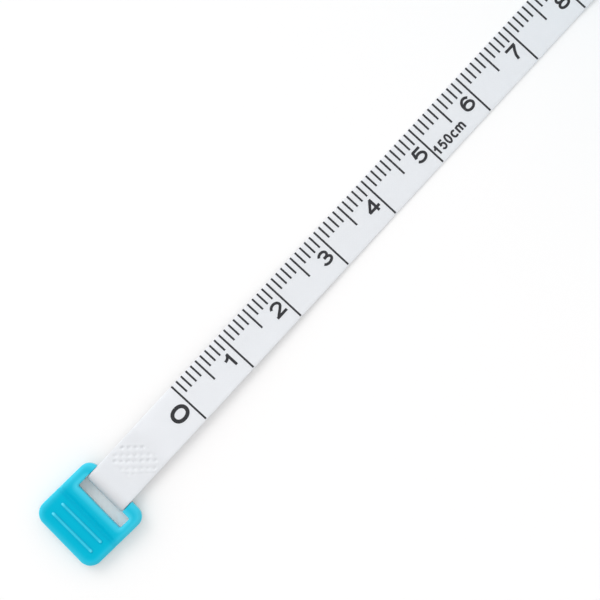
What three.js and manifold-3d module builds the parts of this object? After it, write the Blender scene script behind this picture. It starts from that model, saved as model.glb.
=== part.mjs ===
// Retractable sewing tape: a narrow coated tape with a moulded pull tab, drawn
// out of a spring-wound case that has a push-button brake.
// Millimetres, +Z up. X runs along the tape, from the pull tab to the case.
// Y is the reel's axis: the button is on the -Y side, the screws on the +Y side.
// The origin is on the case's flat foot, straight below the reel's axis.

import * as THREE from 'three';
import { mergeVertices } from 'three/addons/utils/BufferGeometryUtils.js';
import Module from 'manifold-3d';

const wasm = await Module();
wasm.setup();

// Clearance that neighbouring pieces keep.
const FIT = 0.3;

// Tape: coated cloth strip with a printed scale.
const TAPE_WIDTH = 6.95;
const TAPE_THICK = 0.3;
const TAPE_MARKED = 1500;
const TAPE_READING = 100;
const LEAD_LENGTH = 27;
const TURN_GAP = 0.43;
const STEPS_PER_TURN = 24;
const FLOOR_LIFT = 0.15;
const MOUTH_LIFT = 2.2;
const MOUTH_DROP_RUN = 24;
const TAB_RISE_RUN = 52;
const RUN_STEPS = 60;
const RUN_INSIDE = 1;
const LEAD_AIR = 0.36;

// Looped and welded tape end. Distances are from the zero line to the tab side.
const ZERO_TO_JOIN = 8.0;
const ZERO_TO_WELD_END = 13.7;
const ZERO_TO_BAR = 16.65;
const WELD_LIFT = 0.75;
const LOOP_REST = 0.05;
const LOOP_STEPS = 16;

// Pull tab: slotted plate with a round bar for the loop and a ribbed grip.
const ZERO_TO_TAB_TIP = 15.8;
const ZERO_TO_SLOT_NEAR = 17.7;
const ZERO_TO_SLOT_FAR = 19.6;
const ZERO_TO_CREASE = 21.85;
const ZERO_TO_RIB_A = 23.1;
const ZERO_TO_RIB_B = 25.0;
const ZERO_TO_TAB_END = 27.0;
const TAB_WIDTH = 11.7;
const TAB_SHIFT = -0.6;
const TAB_YAW_DEGREES = -2.2;
const TAB_THICK = 2.5;
const TAB_EDGE = 0.45;
const GRIP_CORNER = 2.0;
const TIP_CORNER = 1.7;
const SLOT_WIDTH = 8.75;
const BAR_RADIUS = 0.7;
const BAR_SINK = 0.5;
const GRIP_THICK = 1.9;
const RIB_LENGTH = 8.0;
const RIB_WIDTH = 0.4;
const RIB_HEIGHT = 0.35;

// Reel: a drum with its front flange, and a dished rear cover.
const HUB_RADIUS = 12.3;
const HUB_WALL = 1.1;
const FLANGE_THICK = 0.8;
const FLANGE_LIP = 1.3;
const DISH_FLOOR = 0.8;
const DISH_WALL = 0.9;
const DISH_BACK = 2.2;
const HUB_NOTCH = 1.4;
const REEL_SIDES = 44;

// Case: two shells with the seam behind the tape.
const WALL = 1.6;
const REEL_ROOM = 1.4;
const CORNER_RADIUS = 14;
const MOUTH_CORNER = 3.0;
const LEAST_CORNER = 0.4;
const EDGE_ROUND = 1.5;
const SEAM_MARGIN = 0.9;
const BACK_ROOM = 0.4;
const FRONT_ROOM = 0.4;
const MOUTH_SIDE_ROOM = 0.4;
const MOUTH_OVER = 0.75;
const MOUTH_MARGIN = 2.0;

// Screws that hold the shells together, and their bosses.
const BOSS_RADIUS = 2.3;
const BOSS_SINK = 0.3;
const BOSS_ROOM = 0.7;
const SCREW_RADIUS = 0.9;
const SCREW_LENGTH = 8.0;
const SCREW_HEAD_RADIUS = 1.8;
const SCREW_HEAD_THICK = 0.9;
const SCREW_SEAT = 1.5;
const DRIVE_WIDTH = 0.5;
const DRIVE_DEPTH = 0.5;
const DRIVE_DEPTH_SHARE = 0.7;
const DRIVE_REACH_SHARE = 0.62;
const HEAD_FLAT_SHARE = 0.75;
const SCREW_SIDES = 16;

// Arbor: hollow sleeve in the button well's floor that carries the reel.
const ARBOR_RADIUS = 2.8;
const ARBOR_WALL = 0.9;
const ARBOR_FLANGE_RADIUS = 4.2;
const ARBOR_FLANGE_THICK = 0.7;
const ARBOR_REACH = 0.4;
const ARBOR_SLOT = 1.0;
const ARBOR_SIDES = 32;

// Power spring: flat spiral between the arbor and the hub.
const SPRING_THICK = 0.2;
const SPRING_TURN_GAP = 0.45;
const SPRING_TANG = 0.55;

// Push button, its well and its return spring.
const BUTTON_RADIUS = 8.0;
const BUTTON_WALL = 1.2;
const BUTTON_ROOF = 0.9;
const BUTTON_PROUD = 0.7;
const BUTTON_CROWN = 0.6;
const CROWN_STEPS = 5;
const BUTTON_TRAVEL = 1.0;
const BUTTON_FLOOR_ROOM = 0.4;
const BUTTON_SKIRT = 2.6;
const STEM_RADIUS = 1.6;
const WELL_WALL = 1.0;
const WELL_FLOOR = 1.0;
const COIL_RADIUS = 5.6;
const COIL_WIRE = 0.5;
const COIL_TURNS = 2;
const COIL_STEPS = 8;
const COIL_SIDES = 5;
const BUTTON_SIDES = 40;

// Brake: rubber ring on a plate that the button's stem carries.
const RING_INNER = 5.5;
const RING_STEP = 0.4;
const RING_THICK = 0.7;
const PLATE_ROOM = 0.8;
const PLATE_THICK = 1.2;
const BRAKE_SCREW_RADIUS = 0.8;
const BRAKE_SCREW_LENGTH = 5.0;
const BRAKE_HEAD_RADIUS = 1.7;
const BRAKE_HEAD_THICK = 0.5;
const BRAKE_SEAT = 0.7;
const BRAKE_SIDES = 36;

// Winding: the turns follow from the tape that is still on the reel.
const TURN_PITCH = TAPE_THICK + TURN_GAP;
const windingInner = HUB_RADIUS + FIT + TAPE_THICK / 2;
const woundLength = TAPE_MARKED - TAPE_READING - LEAD_LENGTH;
const windingOuter = Math.sqrt(windingInner ** 2 + (woundLength * TURN_PITCH) / Math.PI);
const windingTurns = (windingOuter - windingInner) / TURN_PITCH;

// Case size follows from the reel.
const flangeRadius = windingOuter + TAPE_THICK / 2 + FLANGE_LIP;
const caseHalf = flangeRadius + REEL_ROOM + WALL;
const axisZ = caseHalf;
const mouthX = -caseHalf;
const zeroX = mouthX - TAPE_READING;

// Reel's cover and the brake inside its dish.
const hubInner = HUB_RADIUS - HUB_WALL;
const dishRadius = hubInner - FIT;
const plateRadius = dishRadius - DISH_WALL - PLATE_ROOM;
const ringOuter = plateRadius - RING_STEP;

// Stack along the reel's axis.
const flangeInner = TAPE_WIDTH / 2 + FIT;
const flangeOuter = flangeInner + FLANGE_THICK;
const dishFront = DISH_BACK - DISH_FLOOR;
const ringFront = DISH_BACK + FIT;
const ringBack = ringFront + RING_THICK;
const plateFront = ringBack + FIT;
const plateBack = plateFront + PLATE_THICK;
const brakeHeadFront = plateBack - BRAKE_SEAT + FIT;
const brakeHeadBack = brakeHeadFront + BRAKE_HEAD_THICK;
const brakeBack = Math.max(brakeHeadBack, plateBack, flangeOuter - BUTTON_TRAVEL);
const rearInner = brakeBack + BUTTON_TRAVEL + BACK_ROOM;
const rearOuter = rearInner + WALL;
const mouthHalf = TAPE_WIDTH / 2 + MOUTH_SIDE_ROOM;
const seamFront = mouthHalf + SEAM_MARGIN;
const seamBack = seamFront + FIT;
const wellInner = -(flangeOuter + FRONT_ROOM);
const wellFloor = wellInner - WELL_FLOOR;
const skirtEnd = wellFloor - BUTTON_FLOOR_ROOM - BUTTON_TRAVEL;
const buttonRim = skirtEnd - BUTTON_SKIRT;
const frontOuter = buttonRim + BUTTON_PROUD;
const frontInner = frontOuter + WALL;
const buttonTop = buttonRim - BUTTON_CROWN;
const buttonUnder = buttonRim + BUTTON_ROOF;
const wellRadius = BUTTON_RADIUS + FIT;
const boreRadius = ARBOR_RADIUS + FIT;
const stemBore = ARBOR_RADIUS - ARBOR_WALL;
const stemEnd = plateFront - FIT;

// Loop and bar.
const loopInner = BAR_RADIUS + FIT;
const loopOuter = loopInner + TAPE_THICK;
const barX = zeroX - ZERO_TO_BAR;
const barZ = loopOuter + LOOP_REST;
const weldThick = 2 * TAPE_THICK;
const tabYaw = THREE.MathUtils.degToRad(TAB_YAW_DEGREES);
const mouthTop = barZ + loopOuter + MOUTH_OVER;
const mouthDepth = ZERO_TO_TAB_TIP - ZERO_TO_JOIN + MOUTH_MARGIN;

const aquaPlastic = { color: 0x12b9d8, roughness: 0.42, metalness: 0 };
const whitePlastic = { color: 0xeef1f2, roughness: 0.45, metalness: 0 };
const greyPlastic = { color: 0xb9bec2, roughness: 0.55, metalness: 0 };
const tapeCloth = { color: 0xe3e7eb, roughness: 0.5, metalness: 0 };
const steel = { color: 0xa9adb2, roughness: 0.3, metalness: 1 };
const springSteel = { color: 0x6f7682, roughness: 0.35, metalness: 1 };
const brass = { color: 0xc2a15a, roughness: 0.3, metalness: 1 };
const rubber = { color: 0x2a2b2d, roughness: 0.85, metalness: 0 };

// Closed solid from a geometry: corners welded, collapsed triangles dropped,
// faces turned outwards.
function solid(geometry) {
  const bare = geometry.clone();
  bare.deleteAttribute('normal');
  bare.deleteAttribute('uv');
  const welded = mergeVertices(bare, 1e-4);
  const points = welded.attributes.position.array;
  const corners = welded.index.array;
  const kept = [];
  let volume = 0;
  const a = new THREE.Vector3();
  const b = new THREE.Vector3();
  const c = new THREE.Vector3();
  for (let i = 0; i < corners.length; i += 3) {
    const [p, q, r] = [corners[i], corners[i + 1], corners[i + 2]];
    if (p === q || q === r || r === p) continue;
    kept.push(p, q, r);
    a.fromArray(points, p * 3);
    b.fromArray(points, q * 3);
    c.fromArray(points, r * 3);
    volume += a.dot(b.cross(c));
  }
  if (volume < 0) {
    for (let i = 0; i < kept.length; i += 3) {
      [kept[i + 1], kept[i + 2]] = [kept[i + 2], kept[i + 1]];
    }
  }
  return new wasm.Manifold(new wasm.Mesh({
    numProp: 3,
    vertProperties: new Float32Array(points),
    triVerts: new Uint32Array(kept),
  }));
}

function geometryOf(body) {
  const data = body.getMesh();
  const geometry = new THREE.BufferGeometry();
  geometry.setAttribute('position', new THREE.BufferAttribute(data.vertProperties, 3));
  geometry.setIndex(new THREE.BufferAttribute(data.triVerts, 1));
  geometry.computeVertexNormals();
  return geometry;
}

function piece(name, body, finish) {
  const mesh = new THREE.Mesh(geometryOf(body), new THREE.MeshStandardMaterial(finish));
  mesh.name = name;
  return mesh;
}

// Outline in the XZ plane, carried from y0 to y1.
function slabGeometry(shape, y0, y1) {
  const geometry = new THREE.ExtrudeGeometry(shape, {
    depth: y1 - y0, bevelEnabled: false, curveSegments: 9,
  });
  geometry.rotateX(Math.PI / 2);
  geometry.translate(0, y1, 0);
  return geometry;
}

function slab(shape, y0, y1) {
  return solid(slabGeometry(shape, y0, y1));
}

// Same, with rounded edges on both faces.
function softSlab(shape, y0, y1, edge, curveSegments = 9) {
  const geometry = new THREE.ExtrudeGeometry(shape, {
    depth: y1 - y0 - 2 * edge,
    bevelEnabled: true,
    bevelThickness: edge,
    bevelSize: edge,
    bevelOffset: -edge,
    bevelSegments: 2,
    curveSegments,
  });
  geometry.rotateX(Math.PI / 2);
  geometry.translate(0, y1 - edge, 0);
  return solid(geometry);
}

// Turned piece about the Y axis, from a closed list of [radius, y].
function turned(profile, sides) {
  const points = profile.map(([r, y]) => new THREE.Vector2(r, y));
  points.push(points[0].clone());
  return solid(new THREE.LatheGeometry(points, sides));
}

function disc(radius, y0, y1, sides) {
  return turned([[0, y0], [radius, y0], [radius, y1], [0, y1]], sides);
}

function block(x0, x1, y0, y1, z0, z1) {
  const geometry = new THREE.BoxGeometry(x1 - x0, y1 - y0, z1 - z0);
  geometry.translate((x0 + x1) / 2, (y0 + y1) / 2, (z0 + z1) / 2);
  return solid(geometry);
}

// Flat strip along a centre line in the XZ plane, with its width along Y.
function ribbon(line, thick, y0, y1) {
  const positions = [];
  const faces = [];
  line.forEach((point, i) => {
    const before = line[Math.max(i - 1, 0)];
    const after = line[Math.min(i + 1, line.length - 1)];
    const along = after.clone().sub(before).normalize();
    const side = new THREE.Vector2(-along.y, along.x).multiplyScalar(thick / 2);
    const over = point.clone().add(side);
    const under = point.clone().sub(side);
    positions.push(over.x, y0, over.y, over.x, y1, over.y);
    positions.push(under.x, y1, under.y, under.x, y0, under.y);
  });
  for (let i = 0; i + 1 < line.length; i += 1) {
    for (let k = 0; k < 4; k += 1) {
      const p = i * 4 + k;
      const q = i * 4 + ((k + 1) % 4);
      faces.push(p, q, q + 4, p, q + 4, p + 4);
    }
  }
  const last = (line.length - 1) * 4;
  faces.push(0, 2, 1, 0, 3, 2);
  faces.push(last, last + 1, last + 2, last, last + 2, last + 3);
  const geometry = new THREE.BufferGeometry();
  geometry.setAttribute('position', new THREE.Float32BufferAttribute(positions, 3));
  geometry.setIndex(faces);
  return solid(geometry);
}

// Round wire along points that wind about the Y axis.
function wire(points, radius, sides) {
  const positions = [];
  const faces = [];
  points.forEach((point, i) => {
    const before = points[Math.max(i - 1, 0)];
    const after = points[Math.min(i + 1, points.length - 1)];
    const along = after.clone().sub(before).normalize();
    const out = new THREE.Vector3(point.x, 0, point.z).normalize();
    out.addScaledVector(along, -out.dot(along)).normalize();
    const up = along.clone().cross(out);
    for (let k = 0; k < sides; k += 1) {
      const turn = (2 * Math.PI * k) / sides;
      const rim = point.clone();
      rim.addScaledVector(out, radius * Math.cos(turn));
      rim.addScaledVector(up, radius * Math.sin(turn));
      positions.push(rim.x, rim.y, rim.z);
    }
  });
  for (let i = 0; i + 1 < points.length; i += 1) {
    for (let k = 0; k < sides; k += 1) {
      const p = i * sides + k;
      const q = i * sides + ((k + 1) % sides);
      faces.push(p, q, q + sides, p, q + sides, p + sides);
    }
  }
  const last = (points.length - 1) * sides;
  for (let k = 1; k + 1 < sides; k += 1) {
    faces.push(0, k + 1, k);
    faces.push(last, last + k, last + k + 1);
  }
  const geometry = new THREE.BufferGeometry();
  geometry.setAttribute('position', new THREE.Float32BufferAttribute(positions, 3));
  geometry.setIndex(faces);
  return solid(geometry);
}

// Least air between the turns of a coil, from the points of its centre line.
function leastGap(points, thick, stepsPerTurn) {
  let least = Infinity;
  for (let i = 0; i < points.length; i += 1) {
    for (let k = i + Math.round(stepsPerTurn / 2); k < points.length; k += 1) {
      least = Math.min(least, points[i].distanceTo(points[k]));
    }
  }
  return least - thick;
}

// Flat spiral about the reel's axis. The radius grows as the angle falls.
function spiral(inner, turns, pitch, endAngle) {
  const line = [];
  const count = Math.round(turns * STEPS_PER_TURN);
  for (let i = 0; i <= count; i += 1) {
    const turn = (turns * i) / count;
    const angle = endAngle + 2 * Math.PI * (turns - turn);
    const radius = inner + pitch * turn;
    line.push(new THREE.Vector2(radius * Math.cos(angle), radius * Math.sin(angle)));
  }
  return line;
}

// Points where lines from a point touch a circle, as angles about its centre.
function touchAngles(point, centre, radius) {
  const reach = point.clone().sub(centre);
  const swing = Math.acos(radius / reach.length());
  const angle = Math.atan2(reach.y, reach.x);
  return [angle - swing, angle + swing];
}

function around(centre, radius, angle) {
  return new THREE.Vector2(
    centre.x + radius * Math.cos(angle),
    centre.y + radius * Math.sin(angle),
  );
}

function smooth(share) {
  const s = Math.min(Math.max(share, 0), 1);
  return s * s * (3 - 2 * s);
}

// Outline of the case in the XZ plane, drawn in by an inset. The corner at the
// tape's mouth is nearly square.
function caseOutline(inset) {
  const half = caseHalf - inset;
  const round = CORNER_RADIUS - inset;
  const mouth = Math.max(MOUTH_CORNER - inset, LEAST_CORNER);
  const shape = new THREE.Shape();
  const low = axisZ - half;
  const high = axisZ + half;
  shape.moveTo(-half + mouth, low);
  shape.lineTo(half - round, low);
  shape.absarc(half - round, low + round, round, -Math.PI / 2, 0, false);
  shape.lineTo(half, high - round);
  shape.absarc(half - round, high - round, round, 0, Math.PI / 2, false);
  shape.lineTo(-half + round, high);
  shape.absarc(-half + round, high - round, round, Math.PI / 2, Math.PI, false);
  shape.lineTo(-half, low + mouth);
  shape.absarc(-half + mouth, low + mouth, mouth, Math.PI, 1.5 * Math.PI, false);
  return shape;
}

// Boss places as [x, z] about the reel's axis: three in the round corners, and
// one above the tape's mouth.
const cornerReach = CORNER_RADIUS - WALL - BOSS_RADIUS + BOSS_SINK;
const cornerPlace = caseHalf - CORNER_RADIUS + cornerReach * Math.SQRT1_2;
const mouthBossX = -(caseHalf - WALL - BOSS_RADIUS + BOSS_SINK);
const mouthBossReach = flangeRadius + BOSS_RADIUS + BOSS_ROOM;
const mouthBossZ = -Math.sqrt(mouthBossReach ** 2 - mouthBossX ** 2);
const bossPlaces = [
  [-cornerPlace, cornerPlace],
  [cornerPlace, cornerPlace],
  [cornerPlace, -cornerPlace],
  [mouthBossX, mouthBossZ],
];
const onAxis = (body) => body.translate([0, 0, axisZ]);
const atBoss = (body, [x, z]) => body.translate([x, 0, axisZ + z]);
const screwHole = SCREW_RADIUS + FIT;
const screwSeatY = rearOuter - SCREW_SEAT;
const screwHeadY = screwSeatY + FIT;
const screwTip = screwHeadY - SCREW_LENGTH;

function frontShell() {
  const past = seamFront + 2 * EDGE_ROUND + WALL;
  let body = softSlab(caseOutline(0), frontOuter, past, EDGE_ROUND);
  const wide = 2 * caseHalf;
  body = body.subtract(block(-wide, wide, seamFront, past + WALL, -wide, 2 * wide));
  body = body.subtract(slab(caseOutline(WALL), frontInner, past));
  for (const place of bossPlaces) {
    const boss = disc(BOSS_RADIUS, frontInner - WALL / 2, seamFront, SCREW_SIDES);
    const bore = disc(screwHole, screwTip - FIT, past, SCREW_SIDES);
    body = body.add(atBoss(boss, place)).subtract(atBoss(bore, place));
  }
  const well = disc(wellRadius + WELL_WALL, frontOuter + WALL / 2, wellInner, BUTTON_SIDES);
  const bore = disc(wellRadius, frontOuter - WALL, wellFloor, BUTTON_SIDES);
  const eye = disc(boreRadius, frontOuter - WALL, past, ARBOR_SIDES);
  body = body.add(onAxis(well)).subtract(onAxis(bore)).subtract(onAxis(eye));
  const inside = mouthX + mouthDepth;
  const mouth = block(mouthX - WALL, inside, -mouthHalf, mouthHalf, -WALL, mouthTop);
  return body.subtract(mouth);
}

function rearShell() {
  const past = seamBack - 2 * EDGE_ROUND - WALL;
  let body = softSlab(caseOutline(0), past, rearOuter, EDGE_ROUND);
  const wide = 2 * caseHalf;
  body = body.subtract(block(-wide, wide, past - WALL, seamBack, -wide, 2 * wide));
  body = body.subtract(slab(caseOutline(WALL), past, rearInner));
  for (const place of bossPlaces) {
    const boss = disc(BOSS_RADIUS, seamBack, rearInner + WALL / 2, SCREW_SIDES);
    const bore = disc(screwHole, past, rearOuter + WALL, SCREW_SIDES);
    const seat = disc(SCREW_HEAD_RADIUS + FIT, screwSeatY, rearOuter + WALL, SCREW_SIDES);
    body = body.add(atBoss(boss, place));
    body = body.subtract(atBoss(bore, place)).subtract(atBoss(seat, place));
  }
  return body;
}

// Screw with its head at +Y and a crossed drive.
function screw(radius, length, headRadius, headThick, headY) {
  const tip = headY - length;
  const headTop = headY + headThick;
  let body = turned([
    [0, tip], [radius * 0.5, tip], [radius, tip + radius], [radius, headY],
    [headRadius, headY], [headRadius, headTop - headThick / 3],
    [headRadius * HEAD_FLAT_SHARE, headTop], [0, headTop],
  ], SCREW_SIDES);
  const arm = headRadius * DRIVE_REACH_SHARE;
  const half = DRIVE_WIDTH / 2;
  const deep = headTop - Math.min(DRIVE_DEPTH, headThick * DRIVE_DEPTH_SHARE);
  body = body.subtract(block(-arm, arm, deep, headTop + headThick, -half, half));
  return body.subtract(block(-half, half, deep, headTop + headThick, -arm, arm));
}

function arbor() {
  const flangeBack = wellFloor - FIT;
  const flangeFront = flangeBack - ARBOR_FLANGE_THICK;
  const end = DISH_BACK + ARBOR_REACH;
  const sleeve = turned([
    [stemBore, flangeFront], [ARBOR_FLANGE_RADIUS, flangeFront],
    [ARBOR_FLANGE_RADIUS, flangeBack], [ARBOR_RADIUS, flangeBack],
    [ARBOR_RADIUS, end], [stemBore, end],
  ], ARBOR_SIDES);
  const half = ARBOR_SLOT / 2;
  const slot = block(0, 2 * ARBOR_RADIUS, springFront - FIT, springBack + FIT, -half, half);
  return onAxis(sleeve.subtract(slot));
}

function reelDrum() {
  const hubEnd = flangeInner - FIT;
  const drum = turned([
    [boreRadius, -flangeOuter], [flangeRadius, -flangeOuter],
    [flangeRadius, -flangeInner], [HUB_RADIUS, -flangeInner],
    [HUB_RADIUS, hubEnd], [hubInner, hubEnd],
    [hubInner, -flangeInner], [boreRadius, -flangeInner],
  ], REEL_SIDES);
  const half = HUB_NOTCH / 2;
  const deep = 2 * HUB_RADIUS;
  const springNotch = block(0, deep, springFront - FIT, flangeInner, -half, half);
  const startTurn = THREE.MathUtils.radToDeg(tapeStartAngle);
  const tapeNotch = block(0, deep, -TAPE_WIDTH / 2 - FIT, flangeInner, -half, half)
    .rotate([0, -startTurn, 0]);
  return onAxis(drum.subtract(springNotch).subtract(tapeNotch));
}

function reelCover() {
  return onAxis(turned([
    [boreRadius, dishFront], [dishRadius, dishFront],
    [dishRadius, flangeInner], [flangeRadius, flangeInner],
    [flangeRadius, flangeOuter], [dishRadius - DISH_WALL, flangeOuter],
    [dishRadius - DISH_WALL, DISH_BACK], [boreRadius, DISH_BACK],
  ], REEL_SIDES));
}

// The power spring hooks into the arbor's slot and into a notch in the hub.
const springFront = -flangeInner + FIT;
const springBack = dishFront - FIT;
function powerSpring() {
  const pitch = SPRING_THICK + SPRING_TURN_GAP;
  const inner = ARBOR_RADIUS + FIT + SPRING_THICK;
  const room = hubInner - FIT - SPRING_THICK - inner;
  const turns = Math.floor(room / pitch);
  const line = spiral(inner, turns, pitch, 0);
  const gap = leastGap(line, SPRING_THICK, STEPS_PER_TURN);
  console.log('power_spring: turns', turns, 'least gap', gap.toFixed(2), 'mm');
  const tangIn = new THREE.Vector2(ARBOR_RADIUS - SPRING_TANG, 0);
  const outer = inner + pitch * turns;
  const tangOut = new THREE.Vector2(HUB_RADIUS - SPRING_TANG, 0);
  const bend = new THREE.Vector2(outer + SPRING_THICK, -SPRING_THICK);
  const strip = ribbon([tangIn, ...line, bend, tangOut], SPRING_THICK, springFront, springBack);
  return onAxis(strip);
}

// Lead: straight run from the winding to just inside the mouth.
const axis = new THREE.Vector2(0, axisZ);
const runStart = mouthX + RUN_INSIDE;
const leadEnd = new THREE.Vector2(runStart + FIT, MOUTH_LIFT);
const leaveAngle = touchAngles(leadEnd, axis, windingOuter)[1];
const tapeStartAngle = leaveAngle + 2 * Math.PI * windingTurns;

function tapeWinding() {
  const line = spiral(windingInner, windingTurns, TURN_PITCH, leaveAngle);
  const gap = leastGap(line, TAPE_THICK, STEPS_PER_TURN);
  console.log('tape_winding: turns', windingTurns.toFixed(1), 'least gap', gap.toFixed(2), 'mm');
  const anchor = HUB_RADIUS - HUB_WALL / 2;
  const tang = around(new THREE.Vector2(), anchor, tapeStartAngle);
  const half = TAPE_WIDTH / 2;
  return onAxis(ribbon([tang, ...line], TAPE_THICK, -half, half));
}

function tapeLead() {
  const leave = around(axis, windingOuter, leaveAngle);
  const clear = windingOuter + TAPE_THICK + LEAD_AIR;
  const skip = Math.sqrt(clear ** 2 - windingOuter ** 2);
  const along = leadEnd.clone().sub(leave).normalize();
  const start = leave.clone().addScaledVector(along, skip);
  const middle = start.clone().lerp(leadEnd, 0.5);
  const half = TAPE_WIDTH / 2;
  return ribbon([start, middle, leadEnd], TAPE_THICK, -half, half);
}

// Height of the tape's centre line: it drops from the mouth to the surface, and
// lifts again to the welded end.
const runEnd = zeroX - ZERO_TO_JOIN + FIT;
const lowZ = FLOOR_LIFT + TAPE_THICK / 2;
const weldTopZ = WELD_LIFT + weldThick - TAPE_THICK / 2;
function tapeHeight(x) {
  const drop = 1 - smooth((runStart - x) / MOUTH_DROP_RUN);
  const rise = smooth((runEnd + TAB_RISE_RUN - x) / TAB_RISE_RUN);
  return lowZ + (MOUTH_LIFT - lowZ) * drop + (weldTopZ - lowZ) * rise;
}

function tapeRun() {
  const line = [];
  for (let i = 0; i <= RUN_STEPS; i += 1) {
    const x = runStart + ((runEnd - runStart) * i) / RUN_STEPS;
    line.push(new THREE.Vector2(x, tapeHeight(x)));
  }
  const half = TAPE_WIDTH / 2;
  return ribbon(line, TAPE_THICK, -half, half);
}

// Loop around the tab's bar: a drop-shaped fold closed by the weld. The fold
// follows the bar, which lies slightly askew.
function tapeLoop() {
  const bar = new THREE.Vector2(barX, barZ);
  const joinX = zeroX - ZERO_TO_JOIN;
  const weldX = zeroX - ZERO_TO_WELD_END;
  const weldTop = new THREE.Vector2(weldX, WELD_LIFT + weldThick);
  const weldLow = new THREE.Vector2(weldX, WELD_LIFT);
  const top = touchAngles(weldTop, bar, loopOuter)[1];
  const low = touchAngles(weldLow, bar, loopOuter)[0] + 2 * Math.PI;
  const shape = new THREE.Shape();
  shape.moveTo(joinX, WELD_LIFT);
  shape.lineTo(joinX, WELD_LIFT + weldThick);
  shape.lineTo(weldTop.x, weldTop.y);
  for (let i = 0; i <= LOOP_STEPS; i += 1) {
    const rim = around(bar, loopOuter, top + ((low - top) * i) / LOOP_STEPS);
    shape.lineTo(rim.x, rim.y);
  }
  shape.lineTo(weldLow.x, weldLow.y);
  const tip = new THREE.Vector2(weldX - TAPE_THICK, WELD_LIFT + weldThick / 2);
  const [holeLow, holeTop] = touchAngles(tip, bar, loopInner);
  const hole = new THREE.Path();
  hole.moveTo(tip.x, tip.y);
  for (let i = 0; i <= LOOP_STEPS; i += 1) {
    const share = i / LOOP_STEPS;
    const rim = around(bar, loopInner, holeTop + (holeLow + 2 * Math.PI - holeTop) * share);
    hole.lineTo(rim.x, rim.y);
  }
  shape.holes.push(hole);
  const fold = slabGeometry(shape, -TAPE_WIDTH / 2, TAPE_WIDTH / 2);
  const places = fold.attributes.position;
  const bend = joinX - barX - loopOuter;
  for (let i = 0; i < places.count; i += 1) {
    const share = smooth((joinX - places.getX(i)) / bend);
    places.setX(i, places.getX(i) - places.getY(i) * Math.tan(tabYaw) * share);
  }
  return solid(fold);
}

// Pull tab, about its bar: x towards the case, z up from the bar's axis.
function pullTab() {
  const at = (distance) => ZERO_TO_BAR - distance;
  const tip = at(ZERO_TO_TAB_TIP);
  const end = at(ZERO_TO_TAB_END);
  const y0 = TAB_SHIFT - TAB_WIDTH / 2;
  const y1 = TAB_SHIFT + TAB_WIDTH / 2;
  const shape = new THREE.Shape();
  shape.moveTo(end + GRIP_CORNER, y0);
  shape.lineTo(tip - TIP_CORNER, y0);
  shape.absarc(tip - TIP_CORNER, y0 + TIP_CORNER, TIP_CORNER, -Math.PI / 2, 0, false);
  shape.lineTo(tip, y1 - TIP_CORNER);
  shape.absarc(tip - TIP_CORNER, y1 - TIP_CORNER, TIP_CORNER, 0, Math.PI / 2, false);
  shape.lineTo(end + GRIP_CORNER, y1);
  shape.absarc(end + GRIP_CORNER, y1 - GRIP_CORNER, GRIP_CORNER, Math.PI / 2, Math.PI, false);
  shape.lineTo(end, y0 + GRIP_CORNER);
  shape.absarc(end + GRIP_CORNER, y0 + GRIP_CORNER, GRIP_CORNER, Math.PI, 1.5 * Math.PI, false);
  const plate = new THREE.ExtrudeGeometry(shape, {
    depth: TAB_THICK - 2 * TAB_EDGE,
    bevelEnabled: true,
    bevelThickness: TAB_EDGE,
    bevelSize: TAB_EDGE,
    bevelOffset: -TAB_EDGE,
    bevelSegments: 2,
    curveSegments: 6,
  });
  plate.translate(0, 0, TAB_EDGE - barZ);
  const over = TAB_THICK;
  const slot0 = TAB_SHIFT - SLOT_WIDTH / 2;
  const slot1 = TAB_SHIFT + SLOT_WIDTH / 2;
  const throat = TAPE_WIDTH / 2 + FIT;
  const near = at(ZERO_TO_SLOT_NEAR);
  const far = at(ZERO_TO_SLOT_FAR);
  const crease = at(ZERO_TO_CREASE);
  const gripTop = GRIP_THICK - barZ;
  let body = solid(plate);
  body = body.subtract(block(far, near, slot0, slot1, -barZ - over, over + barZ));
  body = body.subtract(block(near - BAR_SINK, tip + over, -throat, slot1, -barZ - over, over + barZ));
  body = body.subtract(block(end - over, crease, y0 - over, y1 + over, gripTop, over + barZ));
  for (const place of [at(ZERO_TO_RIB_A), at(ZERO_TO_RIB_B)]) {
    const rib = new THREE.CapsuleGeometry(RIB_WIDTH / 2, RIB_LENGTH - RIB_WIDTH, 3, 8);
    rib.scale(1, 1, RIB_HEIGHT / (RIB_WIDTH / 2));
    rib.translate(place, TAB_SHIFT, gripTop);
    body = body.add(solid(rib));
  }
  const barLength = throat + slot1 + 2 * BAR_SINK;
  const bar = new THREE.CylinderGeometry(BAR_RADIUS, BAR_RADIUS, barLength, 20);
  bar.translate(0, (slot1 - throat) / 2, 0);
  return body.add(solid(bar));
}

// Push button: domed cap on a long stem that runs through the arbor.
function pushButton() {
  const skirt = BUTTON_RADIUS - BUTTON_WALL;
  const screwBore = BRAKE_SCREW_RADIUS + FIT;
  const boreEnd = brakeHeadFront - BRAKE_SCREW_LENGTH - FIT;
  const dome = [];
  for (let i = 0; i <= CROWN_STEPS; i += 1) {
    const share = i / CROWN_STEPS;
    dome.push([BUTTON_RADIUS * share, buttonTop + BUTTON_CROWN * share ** 3]);
  }
  return onAxis(turned([
    ...dome,
    [BUTTON_RADIUS, skirtEnd], [skirt, skirtEnd], [skirt, buttonUnder],
    [STEM_RADIUS, buttonUnder], [STEM_RADIUS, stemEnd], [screwBore, stemEnd],
    [screwBore, boreEnd], [0, boreEnd],
  ], BUTTON_SIDES));
}

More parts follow.
